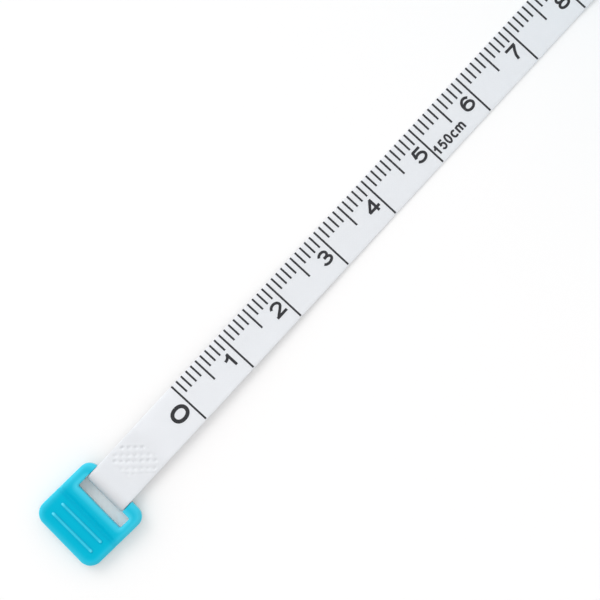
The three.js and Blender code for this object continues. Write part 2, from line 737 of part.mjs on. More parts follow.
function buttonSpring() {
  const low = buttonUnder + FIT + COIL_WIRE / 2;
  const high = wellFloor - FIT - COIL_WIRE / 2;
  const points = [];
  const count = COIL_TURNS * COIL_STEPS;
  for (let i = 0; i <= count; i += 1) {
    const angle = (2 * Math.PI * i) / COIL_STEPS;
    const y = low + ((high - low) * i) / count;
    points.push(new THREE.Vector3(COIL_RADIUS * Math.cos(angle), y, COIL_RADIUS * Math.sin(angle)));
  }
  const gap = leastGap(points, COIL_WIRE, COIL_STEPS);
  console.log('button_spring: turns', COIL_TURNS, 'least gap', gap.toFixed(2), 'mm');
  return onAxis(wire(points, COIL_WIRE / 2, COIL_SIDES));
}

function brakeRing() {
  return onAxis(turned([
    [RING_INNER, ringFront], [ringOuter, ringFront],
    [ringOuter, ringBack], [RING_INNER, ringBack],
  ], BRAKE_SIDES));
}

function brakePlate() {
  const hole = BRAKE_SCREW_RADIUS + FIT;
  const seat = BRAKE_HEAD_RADIUS + FIT;
  const seatY = plateBack - BRAKE_SEAT;
  return onAxis(turned([
    [hole, plateFront], [plateRadius, plateFront], [plateRadius, plateBack],
    [seat, plateBack], [seat, seatY], [hole, seatY],
  ], BRAKE_SIDES));
}

const part = new THREE.Group();

const housing = new THREE.Group();
housing.add(piece('front_shell', frontShell(), aquaPlastic));
housing.add(piece('rear_shell', rearShell(), aquaPlastic));
bossPlaces.forEach(([x, z], i) => {
  const body = screw(SCREW_RADIUS, SCREW_LENGTH, SCREW_HEAD_RADIUS, SCREW_HEAD_THICK, screwHeadY);
  const mesh = piece(`case_screw_${i + 1}`, body, steel);
  mesh.position.set(x, 0, axisZ + z);
  housing.add(mesh);
});
housing.add(piece('arbor', arbor(), brass));
housing.add(piece('power_spring', powerSpring(), springSteel));
housing.add(piece('button_spring', buttonSpring(), springSteel));
housing.add(piece('tape_lead', tapeLead(), tapeCloth));
part.add(housing);

const reel = new THREE.Group();
reel.add(piece('reel_drum', reelDrum(), greyPlastic));
reel.add(piece('reel_cover', reelCover(), greyPlastic));
reel.add(piece('tape_winding', tapeWinding(), tapeCloth));
part.add(reel);

const release = new THREE.Group();
release.add(piece('push_button', pushButton(), whitePlastic));
release.add(piece('brake_ring', brakeRing(), rubber));
release.add(piece('brake_plate', brakePlate(), whitePlastic));
const brakeScrew = piece('brake_screw', screw(
  BRAKE_SCREW_RADIUS, BRAKE_SCREW_LENGTH, BRAKE_HEAD_RADIUS, BRAKE_HEAD_THICK, brakeHeadFront,
), steel);
brakeScrew.position.z = axisZ;
release.add(brakeScrew);
part.add(release);

const drawn = new THREE.Group();
drawn.add(piece('tape_run', tapeRun(), tapeCloth));
drawn.add(piece('tape_loop', tapeLoop(), tapeCloth));
const tab = piece('pull_tab', pullTab(), aquaPlastic);
tab.position.set(barX, 0, barZ);
tab.rotation.z = tabYaw;
drawn.add(tab);
part.add(drawn);

export default part;
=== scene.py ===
"""Looks of a retractable sewing tape: printed cloth tape with a welded loop, moulded
pull tab, two-part case with a push button, springs, and a plain white studio."""

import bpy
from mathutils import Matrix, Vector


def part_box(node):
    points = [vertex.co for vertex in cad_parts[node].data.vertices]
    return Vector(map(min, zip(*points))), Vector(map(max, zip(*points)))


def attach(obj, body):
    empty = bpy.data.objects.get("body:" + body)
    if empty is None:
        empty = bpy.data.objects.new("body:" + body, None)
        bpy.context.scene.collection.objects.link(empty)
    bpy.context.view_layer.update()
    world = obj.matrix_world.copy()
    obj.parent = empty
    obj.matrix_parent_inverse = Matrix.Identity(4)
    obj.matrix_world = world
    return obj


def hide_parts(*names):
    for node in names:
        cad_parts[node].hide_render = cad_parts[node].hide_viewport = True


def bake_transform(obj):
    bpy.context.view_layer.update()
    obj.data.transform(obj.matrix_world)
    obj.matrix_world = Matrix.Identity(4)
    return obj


bl_info = {
    "name": "Retractable sewing tape",
    "version": (1, 0, 0),
    "blender": (4, 5, 0),
    "location": "3D View > Sidebar > Sewing Tape",
    "description": "Builds the printed tape, pull tab, case and studio on the packed model",
    "category": "Object",
}

import math

import bmesh
import bpy
from bpy.props import FloatProperty, FloatVectorProperty, IntProperty, PointerProperty
from mathutils import Matrix, Vector

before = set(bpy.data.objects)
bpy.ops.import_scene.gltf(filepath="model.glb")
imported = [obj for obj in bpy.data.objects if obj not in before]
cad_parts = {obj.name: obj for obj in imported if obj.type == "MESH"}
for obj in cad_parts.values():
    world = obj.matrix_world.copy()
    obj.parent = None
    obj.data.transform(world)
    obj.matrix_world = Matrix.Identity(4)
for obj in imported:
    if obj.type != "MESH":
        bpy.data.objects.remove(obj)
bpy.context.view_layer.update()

MM = 0.001
QUARTER = math.pi / 2
WHITE = (1, 1, 1, 1)

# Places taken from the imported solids.
RUN_LOW, RUN_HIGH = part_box("tape_run")
LEAD_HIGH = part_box("tape_lead")[1]
FRONT_LOW, FRONT_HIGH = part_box("front_shell")
REAR_LOW, REAR_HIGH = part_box("rear_shell")
BUTTON_LOW, BUTTON_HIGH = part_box("push_button")
ARBOR_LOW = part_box("arbor")[0]
SCREW_NODES = [f"case_screw_{i}" for i in range(1, 5)]

CASE_HALF = (FRONT_HIGH.x - FRONT_LOW.x) / 2
AXIS_Z = CASE_HALF
MOUTH_X = -CASE_HALF
TAPE_HALF = (RUN_HIGH.y - RUN_LOW.y) / 2

# The tape's route, which repeats the part's own.
BAR_REACH = 16.65 * MM
ZERO_X = MOUTH_X - 100 * MM
JOIN_X = ZERO_X - 8.0 * MM
WELD_X = ZERO_X - 13.7 * MM
BAR_X = ZERO_X - BAR_REACH
BAR_Z = 1.35 * MM
BAR_RADIUS = 0.7 * MM
LOOP_RADIUS = 1.15 * MM
RUN_START_X = MOUTH_X + 1 * MM
RUN_END_X = JOIN_X + 0.3 * MM
LOW_Z = 0.18 * MM
MOUTH_Z = 2.2 * MM
WELD_TOP_Z = 1.2 * MM
WELD_LOW_Z = 1.0 * MM
DROP_RUN = 24 * MM
RISE_RUN = 52 * MM
LEAD_START = Vector((LEAD_HIGH.x, 0, 4.07 * MM))
LEAD_END = Vector((MOUTH_X + 1.3 * MM, 0, MOUTH_Z))
LEAD_STEPS = 14
TAB_YAW = math.radians(-2.2)
ROLL_WIDTH = 0.5 * MM

# End of the free tape, tucked just under the top of the welded loop.
TUCKED_END = Vector((JOIN_X - 0.5 * MM, 0, WELD_TOP_Z - 0.015 * MM))

# Winding on the reel.
WIND_INNER = 12.75 * MM
WIND_OUTER = 21.945 * MM
WIND_TURNS = 12.596
LEAVE_ANGLE = math.radians(-85.06)
HUB_ANCHOR = 11.75 * MM

# Case, button and screws, along Y.
FRONT_FACE = FRONT_LOW.y
SEAM_FRONT = FRONT_HIGH.y
SEAM_BACK = REAR_LOW.y
REAR_FACE = REAR_HIGH.y
WELL_FLOOR = ARBOR_LOW.y + 1.0 * MM
WELL_BACK = WELL_FLOOR + 1.0 * MM
WELL_RADIUS = 8.3 * MM
ARBOR_BORE = 3.1 * MM
BOSS_RADIUS = 2.3 * MM
SCREW_BORE = 1.2 * MM


def ease(share):
    """Smooth step from 0 to 1."""
    s = min(max(share, 0.0), 1.0)
    return s * s * (3 - 2 * s)


def spread(start, end, count):
    """Even steps from start to end, with both of them."""
    return [start + (end - start) * i / count for i in range(count + 1)]


def tape_height(x):
    """Height of the tape's middle between the mouth and the weld."""
    drop = 1 - ease((RUN_START_X - x) / DROP_RUN)
    rise = ease((RUN_END_X + RISE_RUN - x) / RISE_RUN)
    return LOW_Z + (MOUTH_Z - LOW_Z) * drop + (WELD_TOP_Z - LOW_Z) * rise


def middle_height(x):
    """Height of the tape's middle from the reel to the weld."""
    if x > RUN_START_X:
        share = (x - LEAD_END.x) / (LEAD_START.x - LEAD_END.x)
        return LEAD_END.z + (LEAD_START.z - LEAD_END.z) * share
    return tape_height(x)


def roll(y):
    """Share of the edges' roll, from the flat middle to the tape's two edges."""
    return ease((abs(y) - TAPE_HALF + ROLL_WIDTH) / ROLL_WIDTH)


def tape_line(step):
    """Middle line of the free tape, from the reel to the weld."""
    line = [LEAD_START.lerp(LEAD_END, i / LEAD_STEPS) for i in range(LEAD_STEPS)]
    runs = math.ceil((RUN_START_X - JOIN_X) / step)
    line += [Vector((x, 0, tape_height(x))) for x in spread(RUN_START_X, JOIN_X, runs)]
    return [*line, TUCKED_END]


def polar(radius, angle):
    """Point in the tape's middle plane, about the reel's axis."""
    return Vector((radius * math.cos(angle), 0, AXIS_Z + radius * math.sin(angle)))


def screw_place(node):
    low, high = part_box(node)
    return (low.x + high.x) / 2, (low.z + high.z) / 2


# Sizes and colours


def length_prop(name, description, default, least, most):
    """Property for a length, given in millimetres."""
    return FloatProperty(name=name, description=description, default=default * MM,
                         min=least * MM, max=most * MM, unit="LENGTH", precision=6)


def colour_prop(name, description, *default):
    """Property for a colour, given as red, green and blue."""
    return FloatVectorProperty(name=name, description=description, default=default,
                               size=3, min=0, max=1, subtype="COLOR")


class TapeSizes(bpy.types.PropertyGroup):
    thickness: length_prop("Thickness", "Thickness of the coated cloth", 0.2, 0.1, 0.6)
    edge: length_prop("Edge", "Rounding of the tape's two edges", 0.09, 0.02, 0.12)
    droop: length_prop("Droop", "How far the tape's two edges roll down", 0.05, 0, 0.1)
    step: length_prop("Step", "Length of one mesh step along the tape", 1.0, 0.3, 5)
    knurl_pitch: length_prop("Knurl pitch", "Spacing of the weld's pits along a row", 0.98, 0.3, 2)
    knurl_rows: length_prop("Knurl rows", "Spacing of the weld's rows of pits", 0.975, 0.3, 2)
    knurl_height: length_prop(
        "Knurl height", "Height from the weld's pits to its ridges", 0.19, 0.01, 0.3)


class PrintSizes(bpy.types.PropertyGroup):
    last: IntProperty(
        name="Last line", description="Last millimetre line that is printed on the free tape",
        default=120, min=10, max=121)
    short_tick: length_prop("Millimetre line", "Length of a millimetre line", 2.17, 0.5, 7)
    middle_tick: length_prop(
        "Half-centimetre line", "Length of a five-millimetre line", 3.90, 0.5, 7)
    long_tick: length_prop("Centimetre line", "Length of a centimetre line", 6.80, 0.5, 7.2)
    line_width: length_prop("Line width", "Width of the printed lines", 0.288, 0.05, 0.5)
    figure_height: length_prop("Figure height", "Height of the centimetre figures", 2.24, 0.5, 4)
    figure_drop: length_prop("Figure drop", "Tape edge to the figures' foot line", 4.84, 1, 7)
    figure_stroke: length_prop(
        "Figure stroke", "Stroke width of the centimetre figures", 0.41, 0.05, 0.8)
    ink_lift: length_prop("Ink lift", "Height of the ink above the tape", 0.012, 0.002, 0.05)


class TabSizes(bpy.types.PropertyGroup):
    width: length_prop("Width", "Width of the pull tab", 11.72, 9, 14)
    thickness: length_prop("Thickness", "Thickness of the tab at its slot", 2.5, 1.5, 4)
    grip_thickness: length_prop("Grip thickness", "Thickness of the ribbed grip", 2.2, 1, 3)
    edge: length_prop("Edge", "Rounding of the tab's outer edges", 0.6, 0.1, 0.9)
    rib_width: length_prop("Rib width", "Width of the grip's two ribs", 0.44, 0.1, 1)
    rib_height: length_prop("Rib height", "Height of the grip's two ribs", 0.3, 0.05, 0.6)


class CaseSizes(bpy.types.PropertyGroup):
    corner: length_prop("Corner", "Radius of the case's three round corners", 14, 4, 20)
    mouth_corner: length_prop("Mouth corner", "Radius of the corner at the tape's mouth", 3, 0.5, 8)
    edge: length_prop("Edge", "Rounding of the case's edges", 1.5, 0.3, 1.6)
    wall: length_prop("Wall", "Wall thickness of the shells", 1.6, 0.8, 2.4)
    lip: length_prop("Lip", "Rounding at the seam, the well and the mouth", 0.25, 0.05, 0.6)


class FinishColours(bpy.types.PropertyGroup):
    aqua: colour_prop("Aqua", "Colour of the tab and the case", 0.0003, 0.466, 0.655)
    # Painted highlight: a lighter aqua on the tab's thin rims, slot ring, arms and rib crests.
    aqua_edge: colour_prop(
        "Aqua edge", "Colour of the tab's thin edges and rib crests, as painted highlights", 0.100, 0.700, 0.880)
    # Painted floor light: the tab's low sides turn a paler, greyer aqua towards the floor, which
    # also tones down the aqua that they cast onto it.
    aqua_side: colour_prop(
        "Aqua side", "Colour of the tab's low sides, painted paler and greyer towards the floor", 0.280, 0.530, 0.590)
    cloth: colour_prop("Tape", "Colour of the coated cloth", 0.898, 0.916, 0.948)
    ink: colour_prop("Ink", "Colour of the printed scale", 0.024, 0.0243, 0.0275)
    white: colour_prop("Button", "Colour of the push button", 0.80, 0.83, 0.84)
    grey: colour_prop("Reel", "Colour of the reel", 0.44, 0.46, 0.48)
    steel: colour_prop("Steel", "Colour of the screws", 0.56, 0.57, 0.59)
    spring: colour_prop("Spring steel", "Colour of the springs", 0.16, 0.18, 0.22)
    brass: colour_prop("Brass", "Colour of the arbor", 0.54, 0.36, 0.10)
    rubber: colour_prop("Rubber", "Colour of the brake ring", 0.022, 0.023, 0.025)


class StudioSettings(bpy.types.PropertyGroup):
    view_width: length_prop("View width", "Width of the picture at the tape", 85.83, 20, 1000)
    target: FloatVectorProperty(
        name="Target", description="Point in the middle of the picture",
        default=(ZERO_X + 21.56 * MM, -1.695 * MM, 0.6 * MM), size=3, subtype="TRANSLATION")
    roll: FloatProperty(
        name="Roll", description="Turn of the camera about the view",
        default=math.radians(-47.3), subtype="ANGLE")
    lens: FloatProperty(
        name="Lens", description="Focal length in millimetres", default=200, min=50, max=400)
    key_strength: FloatProperty(
        name="Key", description="Strength of the soft key lamp", default=0.6, min=0, max=5)
    fill_strength: FloatProperty(
        name="Fill", description="Strength of the light from the white walls all around",
        default=1.0, min=0, max=2)
    fill_lean: FloatProperty(
        name="Lean", description="How much brighter the walls are behind the tape than before it",
        default=0.32, min=0, max=1)


class SewingTapeSettings(bpy.types.PropertyGroup):
    tape: PointerProperty(type=TapeSizes)
    scale_print: PointerProperty(type=PrintSizes)
    tab: PointerProperty(type=TabSizes)
    case: PointerProperty(type=CaseSizes)
    colours: PointerProperty(type=FinishColours)
    studio: PointerProperty(type=StudioSettings)


# Finishes


class Wire:
    """A socket of a node tree. Sums on wires add Math nodes."""

    def __init__(self, finish, socket):
        self.finish = finish
        self.socket = socket

    def math(self, operation, first, second=None):
        sockets = {"Value": first}
        if second is not None:
            sockets["Value_001"] = second
        return self.finish.node("ShaderNodeMath", {"operation": operation}, sockets, "Value")

    def __add__(self, other):
        return self.math("ADD", self, other)

    def __radd__(self, other):
        return self.math("ADD", other, self)

    def __sub__(self, other):
        return self.math("SUBTRACT", self, other)

    def __rsub__(self, other):
        return self.math("SUBTRACT", other, self)

    def __mul__(self, other):
        return self.math("MULTIPLY", self, other)

    def __rmul__(self, other):
        return self.math("MULTIPLY", other, self)

    def larger(self, other):
        return self.math("MAXIMUM", self, other)

    def sine(self):
        return self.math("SINE", self)


class Finish:
    """A node tree with one method that adds any node."""

    def __init__(self, tree):
        self.tree = tree
        tree.nodes.clear()

    def node(self, kind, settings=None, sockets=None, output=None):
        made = self.tree.nodes.new(kind)
        for name, value in (settings or {}).items():
            setattr(made, name, value)
        inputs = {socket.identifier: socket for socket in made.inputs}
        for name, value in (sockets or {}).items():
            if isinstance(value, Wire):
                self.tree.links.new(value.socket, inputs[name])
            else:
                inputs[name].default_value = value
        if output is None:
            return made
        return Wire(self, {s.identifier: s for s in made.outputs}[output])

    def place(self):
        return self.node("ShaderNodeTexCoord", output="Object")

    def axes(self, vector):
        """X, Y and Z of a vector."""
        split = self.node("ShaderNodeSeparateXYZ", None, {"Vector": vector})
        return [Wire(self, socket) for socket in split.outputs]

    def mark(self, name):
        """Share that a piece's own attribute gives each point, 0 where it has none."""
        return self.node("ShaderNodeAttribute", {"attribute_name": name}, None, "Fac")

    def seen(self):
        """1 for rays that show the background: from the camera, or by way of metal or glass."""
        path = self.node("ShaderNodeLightPath")
        camera, glossy, clear = (Wire(self, path.outputs[f"Is {kind} Ray"])
                                 for kind in ("Camera", "Glossy", "Transmission"))
        return camera.larger(glossy).larger(clear)

    def noise(self, size, detail, rough=0.5, place=None):
        sockets = {"Vector": place or self.place(), "Scale": 1 / size,
                   "Detail": detail, "Roughness": rough}
        return self.node("ShaderNodeTexNoise", None, sockets, "Fac")

    def tint(self, share, first, second):
        ends = [c if isinstance(c, Wire) else (*c, 1) for c in (first, second)]
        sockets = {"Factor_Float": share, "A_Color": ends[0], "B_Color": ends[1]}
        return self.node("ShaderNodeMix", {"data_type": "RGBA"}, sockets, "Result_Color")

    def relief(self, height, depth, strength):
        sockets = {"Height": height, "Distance": depth, "Strength": strength}
        return self.node("ShaderNodeBump", None, sockets, "Normal")

    def surface(self, other=None, share=0.0, **values):
        """Principled surface, with a share of another shader mixed in."""
        sockets = {name.replace("_", " ").title().replace("Ior", "IOR"): v
                   for name, v in values.items()}
        shader = self.node("ShaderNodeBsdfPrincipled", None, sockets, "BSDF")
        if other:
            shader = self.node("ShaderNodeMixShader", None, {
                "Fac": share, "Shader": shader, "Shader_001": other}, "Shader")
        self.node("ShaderNodeOutputMaterial", None, {"Surface": shader})


def made_once(recipe):
    """Turns a recipe into a finish that is made once under its name."""
    def fetch(name, *colour, **values):
        material = bpy.data.materials.get(name)
        if material is None:
            material = bpy.data.materials.new(name)
            material.use_nodes = True
            recipe(Finish(material.node_tree), *colour, **values)
        return material
    return fetch


def shade(colour, share):
    return tuple(min(1.0, c * share) for c in colour)


@made_once
def plastic(finish, colour, rough, gloss=0.3, edges=None):
    """Satin moulded plastic: faint flow marks, a fine mould texture, and, where the piece's
    painted_light_share attribute is set, a painted highlight on thin edges and crests and painted
    floor light on low sides."""
    flow = finish.noise(size=6 * MM, detail=3)
    texture = finish.noise(size=0.12 * MM, detail=2)
    colour_now = finish.tint(flow, shade(colour, 0.95), shade(colour, 1.05))
    # Painted light: the first colour is a painted highlight on rims and crests, the second painted
    # floor light on the low sides.
    if edges:
        share = finish.mark("painted_light_share") * (1.7 + flow * 0.6)
        colour_now = finish.tint(share - 1, finish.tint(share, colour_now, edges[0]), edges[1])
    finish.surface(
        base_color=colour_now,
        roughness=(rough - 0.05) + flow * 0.06 + texture * 0.05,
        normal=finish.relief(texture, depth=0.006 * MM, strength=0.6),
        specular_ior_level=gloss,
        ior=1.46,
    )


@made_once
def cloth(finish, colour):
    """Coated cloth: a fine plain weave that shows through the coating, with painted shade, down
    to half its colour, where the piece's fold_shade_share attribute marks the loop's fold. Some
    light comes through it."""
    pitch = 0.36 * MM
    warp, weft = ((axis * (2 * math.pi / pitch)).sine()
                  for axis in finish.axes(finish.place())[:2])
    weave = warp * weft * 0.5 + 0.5
    blotch = finish.noise(size=2.5 * MM, detail=3)
    share = weave * 0.35 + blotch * 0.65
    clean = finish.tint(share, shade(colour, 0.975), shade(colour, 1.025))
    finish.surface(
        # Painted shade where the fold_shade_share attribute marks the fold.
        base_color=finish.tint(finish.mark("fold_shade_share"), clean, shade(colour, 0.5)),
        roughness=0.48 + blotch * 0.12,
        normal=finish.relief(share, depth=0.01 * MM, strength=0.5),
        specular_ior_level=0.2,
        other=finish.node("ShaderNodeBsdfTranslucent", None, {"Color": WHITE}, "BSDF"),
        share=0.2,
    )


@made_once
def printed_ink(finish, colour):
    """Dry black print, a little thin where the weave shows through."""
    # In the print this is only uneven ink, worn thin in patches; no shade is painted here.
    wear_and_shade = finish.noise(size=0.3 * MM, detail=3, rough=0.6)
    finish.surface(
        base_color=finish.tint(wear_and_shade, shade(colour, 0.6), shade(colour, 2.0)),
        roughness=0.5 + wear_and_shade * 0.2,
        specular_ior_level=0.22,
    )


@made_once
def metal(finish, colour, rough, stretch):
    """Drawn or turned metal with fine tool lines along one direction."""
    scaled = finish.node("ShaderNodeVectorMath", {"operation": "MULTIPLY"},
                         {"Vector": finish.place(), "Vector_001": stretch}, "Vector")
    lines = finish.noise(size=0.4 * MM, detail=3, place=scaled)
    finish.surface(
        base_color=finish.tint(lines, shade(colour, 0.85), shade(colour, 1.12)),
        metallic=1.0,
        roughness=rough - 0.06 + lines * 0.12,
        normal=finish.relief(lines, depth=0.004 * MM, strength=0.5),
    )


@made_once
def rubber(finish, colour):
    """Matt rubber with a dusty bloom."""
    bloom = finish.noise(size=1.2 * MM, detail=4)
    finish.surface(
        base_color=finish.tint(bloom, shade(colour, 0.7), shade(colour, 1.6)),
        roughness=0.78 + bloom * 0.14,
        normal=finish.relief(bloom, depth=0.02 * MM, strength=0.5),
    )


@made_once
def paper(finish):
    """White studio floor. Where it is the background, a faint glow lifts its shadow."""
    bounce = (0.86, 0.86, 0.86)
    haze = finish.noise(size=80 * MM, detail=2)
    white = finish.tint(haze, (0.960, 0.951, 0.949), (0.968, 0.959, 0.957))
    seen = finish.seen()
    finish.surface(
        base_color=finish.tint(seen, bounce, white),
        roughness=1.0,
        specular_ior_level=0.0,
        other=finish.node("ShaderNodeEmission", None, {"Color": WHITE}, "Emission"),
        share=seen * 0.15,
    )


def white_moulding(colours):
    return plastic("white_moulding", colours.white, rough=0.4)


def plated_steel(colours):
    return metal("plated_steel", colours.steel, rough=0.26, stretch=(1, 0.1, 1))


# Forms


# Points nearer than this are merged, broader faces are shaded flat, sharper edges creased.
MERGE_GAP = 1e-7
BROAD_FACE = 30 * MM * MM
CREASE_ANGLE = math.radians(38)

# How far a cutter goes past the faces that it cuts.
CUT_PAST = 1 * MM


class Form:
    """Points and faces of one piece while it is being built."""

    def __init__(self):
        self.points = []
        self.faces = []
        self.slots = []

    def add(self, points, faces, slot=0):
        start = len(self.points)
        self.points.extend(tuple(p) for p in points)
        self.faces.extend([start + i for i in face] for face in faces)
        self.slots.extend([slot] * len(faces))
        return self

    def loft(self, rings, around=False):
        """Skin over equal rings of points, capped at both ends or closed on itself."""
        size = len(rings[0])
        faces = []
        for i in range(len(rings) if around else len(rings) - 1):
            a, b = i * size, (i + 1) % len(rings) * size
            for k in range(size):
                m = (k + 1) % size
                faces.append([a + k, a + m, b + m, b + k])
        if not around:
            faces.append(list(range(size))[::-1])
            faces.append([(len(rings) - 1) * size + k for k in range(size)])
        return self.add([p for ring in rings for p in ring], faces)

    def turn(self, profile, sides, x=0.0, z=AXIS_Z):
        """Closed profile of (radius, y) turned about an axis along Y."""
        angles = spread(0, 2 * math.pi, sides)[:-1]
        return self.loft([[(x + r * math.cos(a), y, z + r * math.sin(a)) for r, y in profile]
                          for a in angles], around=True)

    def piece(self, name, materials=(), outward=True):
        """The form as an object of the scene, merged and smooth but for its creases."""
        mesh = bpy.data.meshes.new(name)
        mesh.from_pydata(self.points, [], self.faces)
        for polygon, slot in zip(mesh.polygons, self.slots, strict=True):
            polygon.material_index = slot
        for material in materials:
            mesh.materials.append(material)
        obj = bpy.data.objects.new(name, mesh)
        bpy.context.scene.collection.objects.link(obj)
        tidy_mesh(obj, outward)
        return obj


def tidy_mesh(obj, outward=True):
    work = bmesh.new()
    work.from_mesh(obj.data)
    bmesh.ops.remove_doubles(work, verts=work.verts, dist=MERGE_GAP)
    bmesh.ops.dissolve_degenerate(work, edges=work.edges, dist=MERGE_GAP)
    if outward:
        bmesh.ops.recalc_face_normals(work, faces=work.faces)
    if not work.faces:
        raise RuntimeError(f"{obj.name} has no faces")
    work.to_mesh(obj.data)
    work.free()
    obj.data.shade_smooth()
    obj.data.set_sharp_from_angle(angle=CREASE_ANGLE)
    for polygon in obj.data.polygons:
        polygon.use_smooth = polygon.area < BROAD_FACE


def joined(obj, *others):
    """The first object with the meshes of the others added to it."""
    work = bmesh.new()
    work.from_mesh(obj.data)
    for other in others:
        work.from_mesh(other.data)
        discard(other)
    work.to_mesh(obj.data)
    work.free()
    obj.data.update()
    return obj


def discard(obj):
    mesh = obj.data
    bpy.data.objects.remove(obj)
    bpy.data.meshes.remove(mesh)


def carve(obj, *cutters):
    """Cuts forms out of an object and removes the cutters."""
    for cutter in cutters:
        modifier = obj.modifiers.new("cut", "BOOLEAN")
        modifier.operation = "DIFFERENCE"
        modifier.solver = "EXACT"
        modifier.object = cutter
    bpy.context.view_layer.update()
    made = bpy.data.meshes.new_from_object(
        obj.evaluated_get(bpy.context.evaluated_depsgraph_get()))
    old = obj.data
    obj.modifiers.clear()
    obj.data = made
    made.name = obj.name
    bpy.data.meshes.remove(old)
    for cutter in cutters:
        discard(cutter)
    tidy_mesh(obj)


def dress(mesh, material):
    """Gives a mesh one finish."""
    mesh.materials.clear()
    mesh.materials.append(material)


def strip_section(sizes, droop=0.0, columns=6):
    """Outline of the tape across its length as (y, height) points. The top face may have
    more columns than the under face."""
    h, edge = sizes.thickness / 2, sizes.edge
    flat, inner = TAPE_HALF - edge, TAPE_HALF - ROLL_WIDTH
    side = spread(flat, inner, 4)
    turns = spread(0, QUARTER, 4)[1:-1]

    def half(count):
        row = side + spread(inner, -inner, count)[1:-1] + [-y for y in reversed(side)]
        points = [(y, h) for y in row]
        points += [(-flat - edge * math.sin(a), h - edge + edge * math.cos(a)) for a in turns]
        points += [(-TAPE_HALF, h - edge), (-TAPE_HALF, edge - h)]
        points += [(-flat - edge * math.cos(a), edge - h - edge * math.sin(a)) for a in turns]
        return points

    section = half(columns) + [(-y, -n) for y, n in half(6)]
    return [(y, n - droop * roll(y)) for y, n in section]


def strip_rings(line, section, shear=None):
    """Rings of a strip that follows a line in the XZ plane."""
    rings = []
    for i, point in enumerate(line):
        along = line[min(i + 1, len(line) - 1)] - line[max(i - 1, 0)]
        along.normalize()
        up = Vector((along.z, 0, -along.x))
        ring = []
        for y, n in section:
            p = point + up * n + Vector((0, y, 0))
            if shear:
                p.x -= y * shear(p.x)
            ring.append(p)
        rings.append(ring)
    return rings


def lying(a, b, height):
    """Outline on the floor, raised along Z."""
    return a, b, height


def facing(a, b, height):
    """Outline on the case's face, raised along Y."""
    return a, height, b


def ahead(a, b, height):
    """Outline across the tape, raised along X."""
    return height, a, b


def prism(outline, levels, place):
    """Form lofted through (height, inset) levels of an outline."""
    return Form().loft([[place(a, b, height) for a, b in outline(inset)]
                        for height, inset in levels])


def round_off(radius, depth):
    """How far a rounded edge falls away at a depth in from its end."""
    return radius - math.sqrt(max(radius ** 2 - (radius - depth) ** 2, 0))


def flared(low, high, lip, steps=5):
    """Levels of a cutter that opens by a quarter round at both ends."""
    rises = [lip * math.sin(a) for a in spread(0, QUARTER, steps)]
    rounds = [(rise, -round_off(lip, rise)) for rise in rises]
    return [(low - lip, -lip), *((low + rise, inset) for rise, inset in rounds),
            *((high - rise, inset) for rise, inset in reversed(rounds)), (high + lip, -lip)]


def rounded_box(x0, x1, y0, y1, radii, steps=5, least=0.02 * MM):
    """Rectangle with four round corners, as a function of its inset."""
    def outline(inset):
        points = []
        for k, radius in enumerate(radii):
            r = max(radius - inset, least)
            x = x1 - inset - r if k in (0, 3) else x0 + inset + r
            y = y1 - inset - r if k in (0, 1) else y0 + inset + r
            points += [(x + r * math.cos(a), y + r * math.sin(a))
                       for a in spread(QUARTER * k, QUARTER * (k + 1), steps)]
        return points
    return outline


def circle(radius, sides, x, y):
    """Circle as a function of its inset."""
    def outline(inset):
        r = radius - inset
        return [(x + r * math.cos(a), y + r * math.sin(a))
                for a in spread(0, 2 * math.pi, sides)[:-1]]
    return outline


def span(x0, x1, y0, y1):
    """Middle and half sizes of a rectangle."""
    return ((x0 + x1) / 2, (y0 + y1) / 2), ((x1 - x0) / 2, (y1 - y0) / 2)


def outside(x, y, middle, half, corner):
    """Distance from a rectangle with round corners, less than 0 inside it."""
    a = abs(x - middle[0]) - half[0] + corner
    b = abs(y - middle[1]) - half[1] + corner
    return math.hypot(max(a, 0), max(b, 0)) + min(max(a, b), 0) - corner


def soft_plate(box, corners, top, low, edge, stations, samples):
    """Plate with a rounded outline and rounded edges. Its top height follows x."""
    middle, half = span(*box)
    rings = []
    for x in stations:
        corner = corners[0] if x < middle[0] else corners[1]
        past = max(abs(x - middle[0]) - half[0] + corner, 0)
        reach = half[1] - corner + math.sqrt(max(corner ** 2 - past ** 2, 0))
        over, under = [], []
        for turn in spread(-QUARTER, QUARTER, samples):
            y = middle[1] + reach * math.sin(turn)
            depth = min(max(-outside(x, y, middle, half, corner), 0), edge)
            fall = round_off(edge, depth)
            over.append((x, y, top(x) - fall))
            under.append((x, y, low + fall))
        rings.append(over + under[::-1])
    return Form().loft(rings)


# Printed figures


def bow(x, y, rx, ry, start, end, steps=18, full=1.0):
    """Part of an ellipse, angles in degrees. A fuller one is squarer."""
    turns = [math.radians(a) for a in spread(start, end, steps)]
    return [(x + rx * fuller(math.cos(a), full), y + ry * fuller(math.sin(a), full)) for a in turns]


def fuller(share, full):
    return math.copysign(abs(share) ** (1 / full), share)


